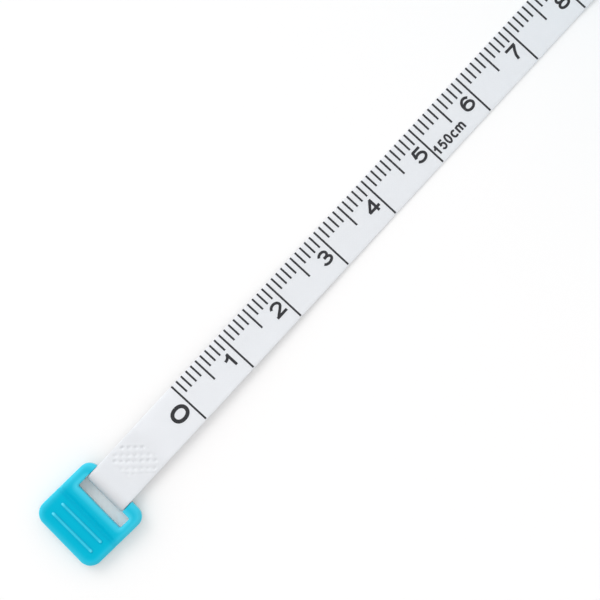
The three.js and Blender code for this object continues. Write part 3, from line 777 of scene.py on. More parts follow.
# Strokes of each sign in a unit square.
SIX = [
    bow(0.5, 0.315, 0.49, 0.315, 180, 540, 30),
    bow(0.52, 0.50, 0.51, 0.50, 40, 180) + [(0.01, 0.315)],
]
FIGURES = {
    "0": [bow(0.5, 0.5, 0.5, 0.5, 90, 450, 48, 1.07)],
    "1": [[(1, -0.08), (1, 1.08)], [(1.0, 1.0), (0.72, 0.82), (0.38, 0.72), (-0.1, 0.68)]],
    "2": [bow(0.49, 0.70, 0.46, 0.30, 172, -28) + [(0.62, 0.36), (0.26, 0.15), (0.06, 0.0)],
          [(-0.1, 0), (1.08, 0)]],
    "3": [bow(0.47, 0.745, 0.42, 0.255, 165, -90) + [(0.34, 0.49)],
          [(0.34, 0.52)] + bow(0.48, 0.26, 0.50, 0.26, 90, -165)],
    "4": [[(0.74, -0.08), (0.74, 1.08)], [(0.74, 1.0), (0.0, 0.27)], [(-0.06, 0.25), (1.1, 0.25)]],
    "5": [[(0.14, 1.0), (0.98, 1.0)], [(0.20, 1.06), (0.06, 0.46)],
          bow(0.48, 0.33, 0.50, 0.33, 148, -158, 24)],
    "6": SIX,
    "7": [[(-0.06, 1), (1.06, 1)], [(0.98, 1.0), (0.66, 0.62), (0.46, 0.30), (0.38, -0.08)]],
    "8": [bow(0.5, 0.76, 0.42, 0.24, -90, 270, 28), bow(0.5, 0.26, 0.5, 0.26, 90, 450, 30)],
    "9": [[(1 - x, 1 - y) for x, y in stroke] for stroke in SIX],
    "c": [bow(0.5, 0.36, 0.5, 0.36, 42, 318, 24, 1.1)],
    "m": [[(0, -0.06), (0, 0.78)],
          bow(0.25, 0.46, 0.25, 0.26, 180, 0, 12) + [(0.5, -0.06)],
          bow(0.75, 0.46, 0.25, 0.26, 180, 0, 12) + [(1.0, -0.06)]],
}

# Widths of the centimetre figures in millimetres, for those that differ from the usual.
USUAL_WIDTH = 1.97
FIGURE_WIDTH = {"1": 1.25, "2": 2.04, "4": 2.14, "5": 2.05, "7": 2.04}


def stroke_faces(points, width):
    """Quads of a pen stroke along points in the plane."""
    corners = []
    for i, (x, y) in enumerate(points):
        x0, y0 = points[max(i - 1, 0)]
        x1, y1 = points[min(i + 1, len(points) - 1)]
        long = math.hypot(x1 - x0, y1 - y0) or 1.0
        nx, ny = -(y1 - y0) / long * width / 2, (x1 - x0) / long * width / 2
        corners += [(x + nx, y + ny), (x - nx, y - ny)]
    return corners, [[2 * i, 2 * i + 1, 2 * i + 3, 2 * i + 2] for i in range(len(points) - 1)]


class ScalePrint:
    """Collects the printed marks in tape places: distance from zero, and across."""

    SLOT = 1
    SUNK = 0.02 * MM
    LAYER_LIFT = 0.03
    EDGE_GAP = 0.04 * MM
    LINE_STEP = 0.12 * MM

    def __init__(self, form, tape, lift):
        self.form = form
        self.droop = tape.droop
        self.lift = tape.thickness / 2 + lift
        self.depth = lift + self.SUNK

    def mark(self, corners, faces, layer=0):
        """Adds a thin plate of ink, sunk into the tape. A higher layer lies over a lower one."""
        top = self.lift * (1 + self.LAYER_LIFT * layer)
        points = []
        for height in (top, top - self.depth):
            for along, across in corners:
                x = ZERO_X + along
                points.append((x, across, middle_height(x) + height - self.droop * roll(across)))
        count = len(corners)
        under = [[i + count for i in reversed(face)] for face in faces]
        edges = [pair for face in faces for pair in zip(face, [*face[1:], face[0]], strict=True)]
        shared = set(edges)
        walls = [[b, a, a + count, b + count] for a, b in edges if (b, a) not in shared]
        self.form.add(points, faces + under + walls, self.SLOT)

    def line(self, along, length, width):
        corners = []
        steps = math.ceil(length / self.LINE_STEP)
        for y in spread(TAPE_HALF - self.EDGE_GAP, TAPE_HALF - length, steps):
            corners += [(along - width / 2, y), (along + width / 2, y)]
        self.mark(corners, [[2 * i, 2 * i + 2, 2 * i + 3, 2 * i + 1] for i in range(steps)])

    def figure(self, sign, right, foot, width, height, stroke):
        w, h = width - stroke, height - stroke
        left = right - width + stroke / 2
        for layer, points in enumerate(FIGURES[sign]):
            placed = [(left + x * w, foot + stroke / 2 + y * h) for x, y in points]
            self.mark(*stroke_faces(placed, stroke), layer)


# Operators


class SEWINGTAPE_OT_studio(bpy.types.Operator):
    """Camera straight above the tape, white floor, soft key lamp and even fill"""

    bl_idname = "sewing_tape.studio"
    bl_label = "Studio"

    SENSOR = 36
    FLOOR_HALF, FLOOR_Z = 3.0, -0.03 * MM
    KEY_SPREAD = math.radians(36)
    KEY_TURN = math.radians(-46), 0, math.radians(-4)
    OVERHEAD_START, OVERHEAD_FULL, OVERHEAD_STRENGTH = 0.65, 0.93, 0.8

    def execute(self, context):
        scene = context.scene
        studio = scene.sewing_tape.studio
        scene.view_settings.view_transform = "Standard"
        camera = bpy.data.cameras.new("camera")
        camera.lens = studio.lens
        camera.sensor_width = self.SENSOR
        camera.clip_start = 0.01
        camera.clip_end = 20
        eye = bpy.data.objects.new("camera", camera)
        above = studio.view_width * studio.lens / camera.sensor_width
        eye.location = Vector(studio.target) + Vector((0, 0, above))
        eye.rotation_euler = (0, 0, studio.roll)
        scene.collection.objects.link(eye)
        scene.camera = eye
        half, z = self.FLOOR_HALF, self.FLOOR_Z
        form = Form().add([(-half, -half, z), (half, -half, z), (half, half, z),
                           (-half, half, z)], [[0, 1, 2, 3]])
        form.piece("studio_floor", [paper("studio_white")], outward=False)
        self.lamps(scene, studio)
        self.surround(scene, studio)
        return {"FINISHED"}

    def lamps(self, scene, studio):
        lamp = bpy.data.lights.new("key", "SUN")
        lamp.energy = studio.key_strength
        lamp.angle = self.KEY_SPREAD
        key = bpy.data.objects.new("key", lamp)
        key.rotation_euler = self.KEY_TURN
        scene.collection.objects.link(key)

    def surround(self, scene, studio):
        """White walls that are a little dimmer overhead, and plain white as background."""
        world = bpy.data.worlds.new("surround")
        world.use_nodes = True
        scene.world = world
        finish = Finish(world.node_tree)
        seen = finish.seen()
        aim = finish.node("ShaderNodeTexCoord", output="Generated")
        behind, up = finish.axes(aim)[1:]
        walls = finish.node("ShaderNodeMapRange", {"interpolation_type": "SMOOTHSTEP"}, {
            "Value": up, "From Min": self.OVERHEAD_START, "From Max": self.OVERHEAD_FULL,
            "To Min": studio.fill_strength, "To Max": self.OVERHEAD_STRENGTH}, "Result")
        walls = walls * (1 + behind * studio.fill_lean)
        light = finish.node("ShaderNodeBackground", None, {
            "Color": WHITE, "Strength": walls + seen * (1 - walls)}, "Background")
        finish.node("ShaderNodeOutputWorld", None, {"Surface": light})


class SEWINGTAPE_OT_loop(bpy.types.Operator):
    """Folded tape end round the tab's bar, closed by a knurled weld"""

    bl_idname = "sewing_tape.loop"
    bl_label = "Welded loop"

    # Mesh steps across the top, and along the weld, up to the bar, round it, back and under.
    COLUMNS = 72
    WELD_STEPS, UP_STEPS, FOLD_STEPS, BACK_STEPS, UNDER_STEPS = 60, 24, 30, 8, 12

    SOFT_PASSES, SOFT_REACH = 12, 1.4 * MM
    # Painted shade on the fold round the bar: how dark it gets, where it starts, and how far it
    # takes to reach full strength.
    WEAR, WEAR_START, WEAR_RUN = 0.55, BAR_X + 0.9 * MM, 2.2 * MM

    # Outline of the knurl, from the zero line and from the tape's edge, and its soft rim.
    PATCH = [Vector((along * MM, TAPE_HALF - down * MM)) for along, down in (
        (-14.1, 1.51), (-12.94, 0.35), (-10.82, 0.35), (-8.6, 2.57), (-8.6, 5.77),
        (-9.73, 6.7), (-10.7, 6.7), (-14.1, 3.51))]
    PATCH_RIM, RIM_START = 0.3 * MM, 0.2

    # Pits and ridges, as shares of the knurl's rows, pitch and height.
    ROW_START, PIT_START, PIT_SKEW = 0.2, 0.62, 0.1
    PIT_WIDE, PIT_LONG, SECOND_OFF = 0.22, 0.26, 0.16
    DEEP, SECOND_LESS, UNEVEN, RIDGE = 0.98, 0.3, 0.1, 0.22
    ROW_SWAY, PIT_SWAY = 4.1, 2.4

    def execute(self, context):
        settings = context.scene.sewing_tape
        sizes = settings.tape
        section = strip_section(sizes, sizes.droop, self.COLUMNS)
        line = self.line()
        rings = strip_rings(line, section, self.shear)
        for point, ring in zip(line[:self.upper], rings, strict=False):
            for p, (y, n) in zip(ring, section, strict=True):
                if n > sizes.edge - sizes.droop:
                    p.z += sizes.knurl_height * self.knurl(point.x - ZERO_X, y, sizes)
        obj = Form().loft(rings).piece(
            "welded_loop", [cloth("coated_cloth", settings.colours.cloth)])
        # Painted shade on the fold: none up to just short of the bar, then growing towards the
        # loop's outer end.
        wear_and_shade = obj.data.attributes.new("fold_shade_share", "FLOAT", "POINT")
        for i, vertex in enumerate(obj.data.vertices):
            share = ease((self.WEAR_START - vertex.co.x) / self.WEAR_RUN)
            wear_and_shade.data[i].value = self.WEAR * share
        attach(obj, "tape_end")
        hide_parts("tape_loop")
        return {"FINISHED"}

    @staticmethod
    def shear(x):
        """Skew that turns the fold with the tab."""
        return math.tan(TAB_YAW) * ease((JOIN_X - x) / (JOIN_X - BAR_X - LOOP_RADIUS))

    def line(self):
        """Out along the top, round the bar and back under to the weld."""
        bar = Vector((BAR_X, 0, BAR_Z))
        bend, end = Vector((WELD_X, 0, WELD_TOP_Z)), Vector((WELD_X, 0, WELD_LOW_Z))
        top = self.touch(bend, bar, 1)
        low = self.touch(end, bar, -1) + 2 * math.pi
        rim = [bar + Vector((math.cos(a), 0, math.sin(a))) * LOOP_RADIUS
               for a in spread(top, low, self.FOLD_STEPS)]
        line = [Vector((x, 0, WELD_TOP_Z)) for x in spread(JOIN_X, WELD_X, self.WELD_STEPS)]
        line += [bend.lerp(rim[0], share) for share in spread(0, 1, self.UP_STEPS)[1:-1]]
        self.upper = len(line)
        line += rim
        line += [rim[-1].lerp(end, share) for share in spread(0, 1, self.BACK_STEPS)[1:-1]]
        line += [Vector((x, 0, WELD_LOW_Z)) for x in spread(WELD_X, JOIN_X, self.UNDER_STEPS)]
        return self.relaxed(line)

    @staticmethod
    def touch(point, centre, side):
        """Angle at which a line from a point touches the fold."""
        reach = point - centre
        swing = math.acos(LOOP_RADIUS / reach.length)
        return math.atan2(reach.z, reach.x) + side * swing

    def relaxed(self, line):
        """The same line with its bends at the weld softened."""
        for _ in range(self.SOFT_PASSES):
            line = [
                line[i - 1] * 0.25 + p * 0.5 + line[i + 1] * 0.25
                if 0 < i < len(line) - 1 and abs(p.x - WELD_X) < self.SOFT_REACH else p
                for i, p in enumerate(line)
            ]
        return line

    def knurl(self, along, across, sizes):
        """Height share of the welding tool's pits, with ridges between their slanting rows.
        Every second row is shallower and lies a little off the middle."""
        row = (along + across) / math.sqrt(2) / sizes.knurl_rows + self.ROW_START
        place = (along - across) / math.sqrt(2) / sizes.knurl_pitch
        place -= self.PIT_START + self.PIT_SKEW * row
        n, p = round(row), round(place)
        second = n % 2
        uneven = self.UNEVEN * math.sin(self.ROW_SWAY * n + self.PIT_SWAY * p)
        deep = self.DEEP - self.SECOND_LESS * second + uneven
        off = math.hypot((row - n + self.SECOND_OFF * second) / self.PIT_WIDE,
                         (place - p) / self.PIT_LONG)
        ridge = self.RIDGE * math.sin(math.pi * row) ** 2
        return (ridge - deep * math.exp(-off * off)) * self.within(Vector((along, across)))

    def within(self, point):
        """1 inside the knurl's outline, falling to 0 at its rim."""
        share = 1.0
        for corner, following in zip(self.PATCH, self.PATCH[1:] + self.PATCH[:1], strict=True):
            side, off = following - corner, point - corner
            depth = (side.y * off.x - side.x * off.y) / side.length
            share = min(share, ease(depth / self.PATCH_RIM + self.RIM_START))
        return share


class SEWINGTAPE_OT_pull_tab(bpy.types.Operator):
    """Moulded tab with its slot, bar, crease and two ribs"""

    bl_idname = "sewing_tape.pull_tab"
    bl_label = "Pull tab"

    # Places on the tab, from the bar's middle.
    TIP, NEAR, FAR, CREASE, END = (BAR_REACH - d * MM for d in (15.72, 17.7, 19.6, 21.7, 26.98))
    RIBS = BAR_REACH - 22.9 * MM, BAR_REACH - 24.8 * MM
    RIB_HALF, RIB_ROOT, RIB_END = 4.0 * MM, 0.2 * MM, 0.02
    SHIFT = -0.6 * MM
    SLOT_TOP, SLOT_FOOT = TAPE_HALF + 0.09 * MM, -4.95 * MM
    THROAT_FOOT = -TAPE_HALF - 0.12 * MM
    CORNERS = 2.0 * MM, 1.7 * MM
    SLOT_CORNER, THROAT_CORNER, SLOT_LIP = 0.25 * MM, 0.2 * MM, 0.3 * MM
    RING_DROP, CREASE_DEPTH, CREASE_WIDTH = 0.06 * MM, 0.3 * MM, 0.4 * MM
    SUNK = 0.5 * MM

    # The outline's lean on the bar, with the small shift that keeps it in place.
    LEAN = (Matrix.Translation((0.08 * MM, -0.1 * MM, 0))
            @ Matrix.Rotation(math.radians(-0.9), 4, "Z"))

    # How far the painted highlights and painted floor light of mark_edges reach, and how strong
    # they are.
    RIM_REACH, ARM_GAP, ARM_REACH = 1.2 * MM, 0.3 * MM, 2.5 * MM
    WALL_START, WALL_REACH, SIDE_START, SIDE_REACH = 0.15 * MM, 0.6 * MM, 0.5 * MM, 2.0 * MM
    CREST_START, CREST_REACH, CREST_END, CREST_FADE = 0.02 * MM, 0.12 * MM, 3.3 * MM, 0.5 * MM
    RIM_MARK, ARM_MARK, RING_MARK, SIDE_MARK, LOW_MARK = 0.2, 0.08, 0.32, 0.45, 0.5
    CREST_MARK, CREST_END_MARK = 0.22, 0.3

    def execute(self, context):
        settings = context.scene.sewing_tape
        sizes, colours = settings.tab, settings.colours
        low = -BAR_Z
        self.full = low + sizes.thickness
        self.grip = low + sizes.grip_thickness
        box = (self.END, self.TIP, self.SHIFT - sizes.width / 2, self.SHIFT + sizes.width / 2)
        body = soft_plate(box, self.CORNERS, self.top, low, sizes.edge,
                          self.stations(sizes.edge), samples=76).piece("pull_tab_moulding")
        slot_box = (self.FAR, self.NEAR, self.SLOT_FOOT, self.SLOT_TOP)
        slot = rounded_box(*slot_box, [self.SLOT_CORNER] * 4)
        throat = rounded_box(self.NEAR - self.SUNK, self.TIP + 2 * CUT_PAST, self.THROAT_FOOT,
                             self.SLOT_TOP, [self.THROAT_CORNER] * 4)
        levels = flared(low, self.full - self.RING_DROP, self.SLOT_LIP)
        window = prism(slot, levels, lying).piece("slot_cutter")
        for leaning in (body, window):
            leaning.data.transform(self.LEAN)
        straight = [(low - CUT_PAST, 0), (self.full + CUT_PAST, 0)]
        carve(body, window, prism(throat, straight, lying).piece("throat_cutter"))
        joined(body, *(self.rib(x, sizes) for x in self.RIBS), self.bar())
        self.mark_edges(body.data, span(*box), span(*slot_box))
        body.data.transform(
            Matrix.Translation((BAR_X, 0, BAR_Z)) @ Matrix.Rotation(TAB_YAW, 4, "Z"))
        # The finish paints highlights and floor light where painted_light_share is set.
        dress(body.data, plastic("tab_moulding", colours.aqua, rough=0.36, gloss=0.06,
                                 edges=(colours.aqua_edge, colours.aqua_side)))
        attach(body, "tab")
        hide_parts("pull_tab")
        return {"FINISHED"}

    def stations(self, edge):
        """Places of the rings along the tab, closest at its ends and its crease."""
        ends = [edge * (1 - math.cos(a)) for a in spread(0, QUARTER, 8)]
        gap = 0.12 * MM
        return [
            *(self.END + back for back in ends),
            *spread(self.END + edge + 0.2 * MM, self.CREASE - 1.1 * MM, 12),
            *spread(self.CREASE - 1.0 * MM, self.FAR, 44),
            *spread(self.FAR + gap, self.TIP - edge - gap, 22),
            *(self.TIP - back for back in reversed(ends)),
        ]

    def top(self, x):
        """Flat ring, rounded band behind the slot, soft crease, level grip."""
        crest = (self.FAR + self.CREASE) / 2
        half = crest - self.CREASE
        if x > crest:
            return self.full - self.RING_DROP * ease((x - crest) / half)
        height = self.grip + (self.full - self.grip) * ease((x - self.CREASE) / half)
        off = (x - self.CREASE) / self.CREASE_WIDTH
        return height - self.CREASE_DEPTH * math.exp(-off ** 2)

    def mark_edges(self, mesh, plate, slot):
        """Marks painted highlights on the outer rim, the arms, the slot's ring and the ribs' crests
        and, more strongly, painted floor light on the low sides.
        """
        marks = mesh.attributes.new("painted_light_share", "FLOAT", "POINT")
        for i, vertex in enumerate(mesh.vertices):
            x, y, z = vertex.co
            corner = self.CORNERS[0] if x < plate[0][0] else self.CORNERS[1]
            inside = -outside(x, y, *plate, corner)
            apart = outside(x, y, *slot, self.SLOT_CORNER)
            rim, ring = (1 - ease(off / self.RIM_REACH) for off in (inside, apart))
            arm = ease((x - self.CREASE - self.ARM_GAP) / self.ARM_REACH)
            crest = 0.0
            if x < self.CREASE:
                crest = ease((z - self.grip - self.CREST_START) / self.CREST_REACH)
            end = ease((abs(y - self.SHIFT) - self.CREST_END) / self.CREST_FADE)
            below = self.top(x) - z
            side = 1 - ease((min(inside, apart) - self.WALL_START) / self.WALL_REACH)
            side *= ease(below / self.SIDE_START)
            marks.data[i].value = max(
                self.RIM_MARK * rim + self.ARM_MARK * arm, self.RING_MARK * ring,
                crest * (self.CREST_MARK + self.CREST_END_MARK * end),
                side * (self.SIDE_MARK + self.LOW_MARK * ease(below / self.SIDE_REACH)))

    def rib(self, x, sizes):
        """Round rib with round ends, sunk into the grip."""
        w, h = sizes.rib_width / 2, sizes.rib_height
        turns = [math.sin(a) for a in spread(-QUARTER, QUARTER, 10)]
        rings = []
        for along in [self.RIB_HALF * math.sin(a) for a in spread(-QUARTER, QUARTER, 36)]:
            near = min((self.RIB_HALF - abs(along)) / w, 1)
            share = math.sqrt(max(1 - (1 - near) ** 2, self.RIB_END ** 2))
            y = self.SHIFT + along
            ring = [(x + w * off * share, y,
                     self.grip + h * share * math.sqrt(max(1 - off * off, 0))) for off in turns]
            rings.append(ring + [(p[0], y, self.grip - self.RIB_ROOT) for p in reversed(ring)])
        return Form().loft(rings).piece("rib")

    def bar(self):
        low, high = self.THROAT_FOOT - self.SUNK, self.SLOT_TOP + self.SUNK
        profile = [(0, low), (BAR_RADIUS, low), (BAR_RADIUS, high), (0, high)]
        return Form().turn(profile, sides=40, z=0.0).piece("bar")


class SEWINGTAPE_OT_printed_tape(bpy.types.Operator):
    """Free tape from the reel to the weld, with its printed centimetre scale"""

    bl_idname = "sewing_tape.printed_tape"
    bl_label = "Printed tape"

    CORD_STEP = 5 * MM

    # The zero is broader than the other figures. A lone 1 stands further from its line.
    ZERO_RIGHT, ZERO_WIDTH, ZERO_HEIGHT, ZERO_STROKE = (v * MM for v in (-0.55, 2.94, 2.46, 0.57))
    LINE_GAP, LONE_GAP, SIGN_GAP = 0.57 * MM, 0.52 * MM, 0.3 * MM

    # Note of the whole length: each sign with its width and the gap after it, in millimetres.
    NOTE = (("1", 0.70, 0.38), ("5", 1.0, 0.15), ("0", 0.95, 0.18),
            ("c", 1.02, 0.04), ("m", 1.43, 0))
    NOTE_START, NOTE_DROP, NOTE_HEIGHT, NOTE_STROKE = (v * MM for v in (50.2, 5.88, 1.6, 0.305))

    def execute(self, context):
        settings = context.scene.sewing_tape
        sizes, marks, colours = settings.tape, settings.scale_print, settings.colours
        line = tape_line(sizes.step)
        form = Form().loft(strip_rings(line, strip_section(sizes, sizes.droop)))
        self.scale(ScalePrint(form, sizes, marks.ink_lift), marks)
        obj = form.piece("printed_tape", [cloth("coated_cloth", colours.cloth),
                                          printed_ink("scale_ink", colours.ink)])
        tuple(line[0])
        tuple(line[-1])
        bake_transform(obj)
        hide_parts("tape_run", "tape_lead")
        route = tape_line(self.CORD_STEP)
        length = sum((b - a).length for a, b in zip(route, route[1:]))
        return {"FINISHED"}

    def scale(self, ink, marks):
        """Lines and figures of the scale, and the note after the fifth centimetre."""
        for mm in range(marks.last + 1):
            length = marks.short_tick
            if mm % 10 == 0:
                length = marks.long_tick
            elif mm % 5 == 0:
                length = marks.middle_tick
            ink.line(mm * MM, length, marks.line_width)
        foot = TAPE_HALF - marks.figure_drop
        ink.figure("0", self.ZERO_RIGHT, foot, self.ZERO_WIDTH, self.ZERO_HEIGHT, self.ZERO_STROKE)
        for cm in range(1, marks.last // 10 + 1):
            right = cm * 10 * MM - self.LINE_GAP
            for sign in reversed(str(cm)):
                width = FIGURE_WIDTH.get(sign, USUAL_WIDTH) * MM
                gap = self.LONE_GAP if cm == 1 else 0.0
                ink.figure(sign, right - gap, foot, width, marks.figure_height, marks.figure_stroke)
                right -= width + self.SIGN_GAP
        right = self.NOTE_START
        for sign, width, gap in self.NOTE:
            right += width * MM
            ink.figure(sign, right, TAPE_HALF - self.NOTE_DROP, width * MM, self.NOTE_HEIGHT,
                       self.NOTE_STROKE)
            right += gap * MM


class SEWINGTAPE_OT_case(bpy.types.Operator):
    """Two moulded shells with the button's well, the tape's mouth and the screw seats"""

    bl_idname = "sewing_tape.case"
    bl_label = "Case shells"

    LEAST_CORNER = 0.4 * MM
    WELL_SIDES, SEAT_SIDES, POST_SIDES = 96, 48, 32
    WELL_CUT, WELL_WALL, CUP_START = 4 * MM, 1.0 * MM, 0.8 * MM
    MOUTH_TOP, MOUTH_FOOT, MOUTH_DEPTH = 3.4 * MM, -3 * MM, 9.8 * MM
    MOUTH_ROOM, MOUTH_ROUND = 0.4 * MM, 0.5 * MM
    SEAT_RADIUS, SEAT_DEPTH, SEAT_LIP = 2.1 * MM, 2 * MM, 0.6
    FRONT_ROOT, REAR_ROOT = 0.6 * MM, 0.1 * MM

    def execute(self, context):
        settings = context.scene.sewing_tape
        s = self.sizes = settings.case
        self.outline = rounded_box(
            -CASE_HALF, CASE_HALF, AXIS_Z - CASE_HALF, AXIS_Z + CASE_HALF,
            (s.corner, s.corner, s.mouth_corner, s.corner), steps=22, least=self.LEAST_CORNER)
        finish = plastic("case_moulding", settings.colours.aqua, rough=0.38)
        for obj, node in ((self.front(), "front_shell"), (self.rear(), "rear_shell")):
            dress(obj.data, finish)
            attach(obj, "case")
            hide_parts(node)
        return {"FINISHED"}

    def shell(self, name, seam, face, towards):
        """One shell from its inner floor over the seam to its rounded outer face."""
        s = self.sizes
        levels = [(face - towards * s.wall, s.wall), (seam, s.wall), (seam, s.lip)]
        for a in spread(0, QUARTER, 4)[1:]:
            levels.append((seam + towards * s.lip * (1 - math.cos(a)), s.lip * (1 - math.sin(a))))
        for a in spread(0, QUARTER, 10):
            levels.append((face - towards * s.edge * (1 - math.sin(a)), s.edge * (1 - math.cos(a))))
        return prism(self.outline, levels, facing).piece(name)

    def front(self):
        s = self.sizes
        obj = self.shell("case_front", SEAM_FRONT, FRONT_FACE, -1)
        well = prism(circle(WELL_RADIUS, self.WELL_SIDES, 0, AXIS_Z),
                     flared(FRONT_FACE, FRONT_FACE + self.WELL_CUT, s.lip), facing)
        half = TAPE_HALF + self.MOUTH_ROOM
        mouth = prism(rounded_box(-half, half, self.MOUTH_FOOT, self.MOUTH_TOP,
                                  [self.MOUTH_ROUND] * 4),
                      flared(MOUTH_X, MOUTH_X + self.MOUTH_DEPTH, s.lip), ahead)
        carve(obj, well.piece("well_cutter"), mouth.piece("mouth_cutter"))
        outer, start = WELL_RADIUS + self.WELL_WALL, FRONT_FACE + self.CUP_START
        cup = Form().turn([(WELL_RADIUS, start), (outer, start), (outer, WELL_BACK),
                           (ARBOR_BORE, WELL_BACK), (ARBOR_BORE, WELL_FLOOR),
                           (WELL_RADIUS, WELL_FLOOR)], self.WELL_SIDES)
        posts = self.posts(FRONT_FACE + s.wall - self.FRONT_ROOT, SEAM_FRONT)
        return joined(obj, cup.piece("well"), posts)

    def rear(self):
        obj = self.shell("case_rear", SEAM_BACK, REAR_FACE, 1)
        levels = flared(REAR_FACE - self.SEAT_DEPTH, REAR_FACE, self.sizes.lip * self.SEAT_LIP)
        seats = [circle(self.SEAT_RADIUS, self.SEAT_SIDES, *screw_place(node))
                 for node in SCREW_NODES]
        carve(obj, *(prism(seat, levels, facing).piece("seat_cutter") for seat in seats))
        return joined(obj, self.posts(SEAM_BACK, REAR_FACE - self.sizes.wall + self.REAR_ROOT))

    def posts(self, low, high):
        """Hollow screw posts between the shells."""
        form = Form()
        for node in SCREW_NODES:
            form.turn([(SCREW_BORE, low), (BOSS_RADIUS, low), (BOSS_RADIUS, high),
                       (SCREW_BORE, high)], self.POST_SIDES, *screw_place(node))
        return form.piece("posts")


class SEWINGTAPE_OT_case_screws(bpy.types.Operator):
    """Four plated screws with crossed drives in the rear shell"""

    bl_idname = "sewing_tape.case_screws"
    bl_label = "Case screws"

    SHANK, HEAD, HEIGHT = 0.9 * MM, 1.8 * MM, 0.9 * MM
    POINT, DOME, FLAT = 0.5, 0.45, 0.72
    DRIVE_LONG, DRIVE_WIDE, DRIVE_DEEP = 1.1 * MM, 0.25 * MM, 0.5 * MM
    DRIVE_ROUND, DRIVE_TAPER = 0.08 * MM, 0.04 * MM
    SIDES = 48

    def execute(self, context):
        finish = plated_steel(context.scene.sewing_tape.colours)
        for node in SCREW_NODES:
            low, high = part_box(node)
            obj = self.screw(f"cross_{node}", *screw_place(node), low.y, high.y)
            dress(obj.data, finish)
            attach(obj, "case")
            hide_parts(node)
        return {"FINISHED"}

    def screw(self, name, x, z, tip, top):
        """Pointed shank and domed head, cut by a crossed drive."""
        radius, head, seat = self.SHANK, self.HEAD, top - self.HEIGHT
        dome = self.HEIGHT * self.DOME
        profile = [(0, tip), (radius * self.POINT, tip), (radius, tip + radius), (radius, seat),
                   (head, seat), (head, top - dome)]
        for a in spread(0, QUARTER, 6)[1:]:
            profile.append((head * (self.FLAT + (1 - self.FLAT) * math.cos(a)),
                            top - dome * (1 - math.sin(a))))
        obj = Form().turn([*profile, (0, top)], self.SIDES, x, z).piece(name)
        levels = [(top - self.DRIVE_DEEP, self.DRIVE_TAPER), (top + CUT_PAST, -self.DRIVE_TAPER)]
        sizes = (self.DRIVE_LONG, self.DRIVE_WIDE)
        slots = [rounded_box(x - wide, x + wide, z - high, z + high, [self.DRIVE_ROUND] * 4)
                 for wide, high in (sizes, sizes[::-1])]
        carve(obj, *(prism(slot, levels, facing).piece("drive_cutter") for slot in slots))
        return obj


class SEWINGTAPE_OT_push_button(bpy.types.Operator):
    """Crowned white button on its long stem"""

    bl_idname = "sewing_tape.push_button"
    bl_label = "Push button"

    RADIUS, CROWN, RIM = 8.0 * MM, 0.6 * MM, 0.35 * MM
    SKIRT, CAP, WALL = 3.2 * MM, 1.5 * MM, 1.2 * MM
    STEM, BORE, BORE_GAP = 1.6 * MM, 1.1 * MM, 0.3 * MM

    def execute(self, context):
        finish = white_moulding(context.scene.sewing_tape.colours)
        top, end, flat = BUTTON_LOW.y, BUTTON_HIGH.y, self.RADIUS - self.RIM
        profile = [(r, self.crown(r)) for r in spread(0, flat, 24)]
        for a in spread(0, QUARTER, 6)[1:]:
            profile.append((flat + self.RIM * math.sin(a),
                            self.crown(flat) + self.RIM * (1 - math.cos(a))))
        skirt, under, inner = top + self.SKIRT, top + self.CAP, self.RADIUS - self.WALL
        bore_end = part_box("brake_screw")[0].y - self.BORE_GAP
        profile += [(self.RADIUS, skirt), (inner, skirt), (inner, under), (self.STEM, under),
                    (self.STEM, end), (self.BORE, end), (self.BORE, bore_end), (0, bore_end)]
        obj = Form().turn(profile, sides=96).piece("release_button", [finish])
        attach(obj, "release")
        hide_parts("push_button")
        return {"FINISHED"}

    def crown(self, radius):
        return BUTTON_LOW.y + self.CROWN * (radius / self.RADIUS) ** 3


class SEWINGTAPE_OT_winding(bpy.types.Operator):
    """Turns of tape on the reel"""

    bl_idname = "sewing_tape.winding"
    bl_label = "Wound tape"

    STEPS_PER_TURN = 48

    def execute(self, context):
        settings = context.scene.sewing_tape
        count = round(WIND_TURNS * self.STEPS_PER_TURN)
        start = LEAVE_ANGLE + 2 * math.pi * WIND_TURNS
        line = [polar(HUB_ANCHOR, start)]
        line += [polar(radius, angle) for radius, angle in zip(
            spread(WIND_INNER, WIND_OUTER, count), spread(start, LEAVE_ANGLE, count), strict=True)]
        obj = Form().loft(strip_rings(line, strip_section(settings.tape))).piece(
            "wound_tape", [cloth("coated_cloth", settings.colours.cloth)])
        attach(obj, "reel")
        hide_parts("tape_winding")
        return {"FINISHED"}


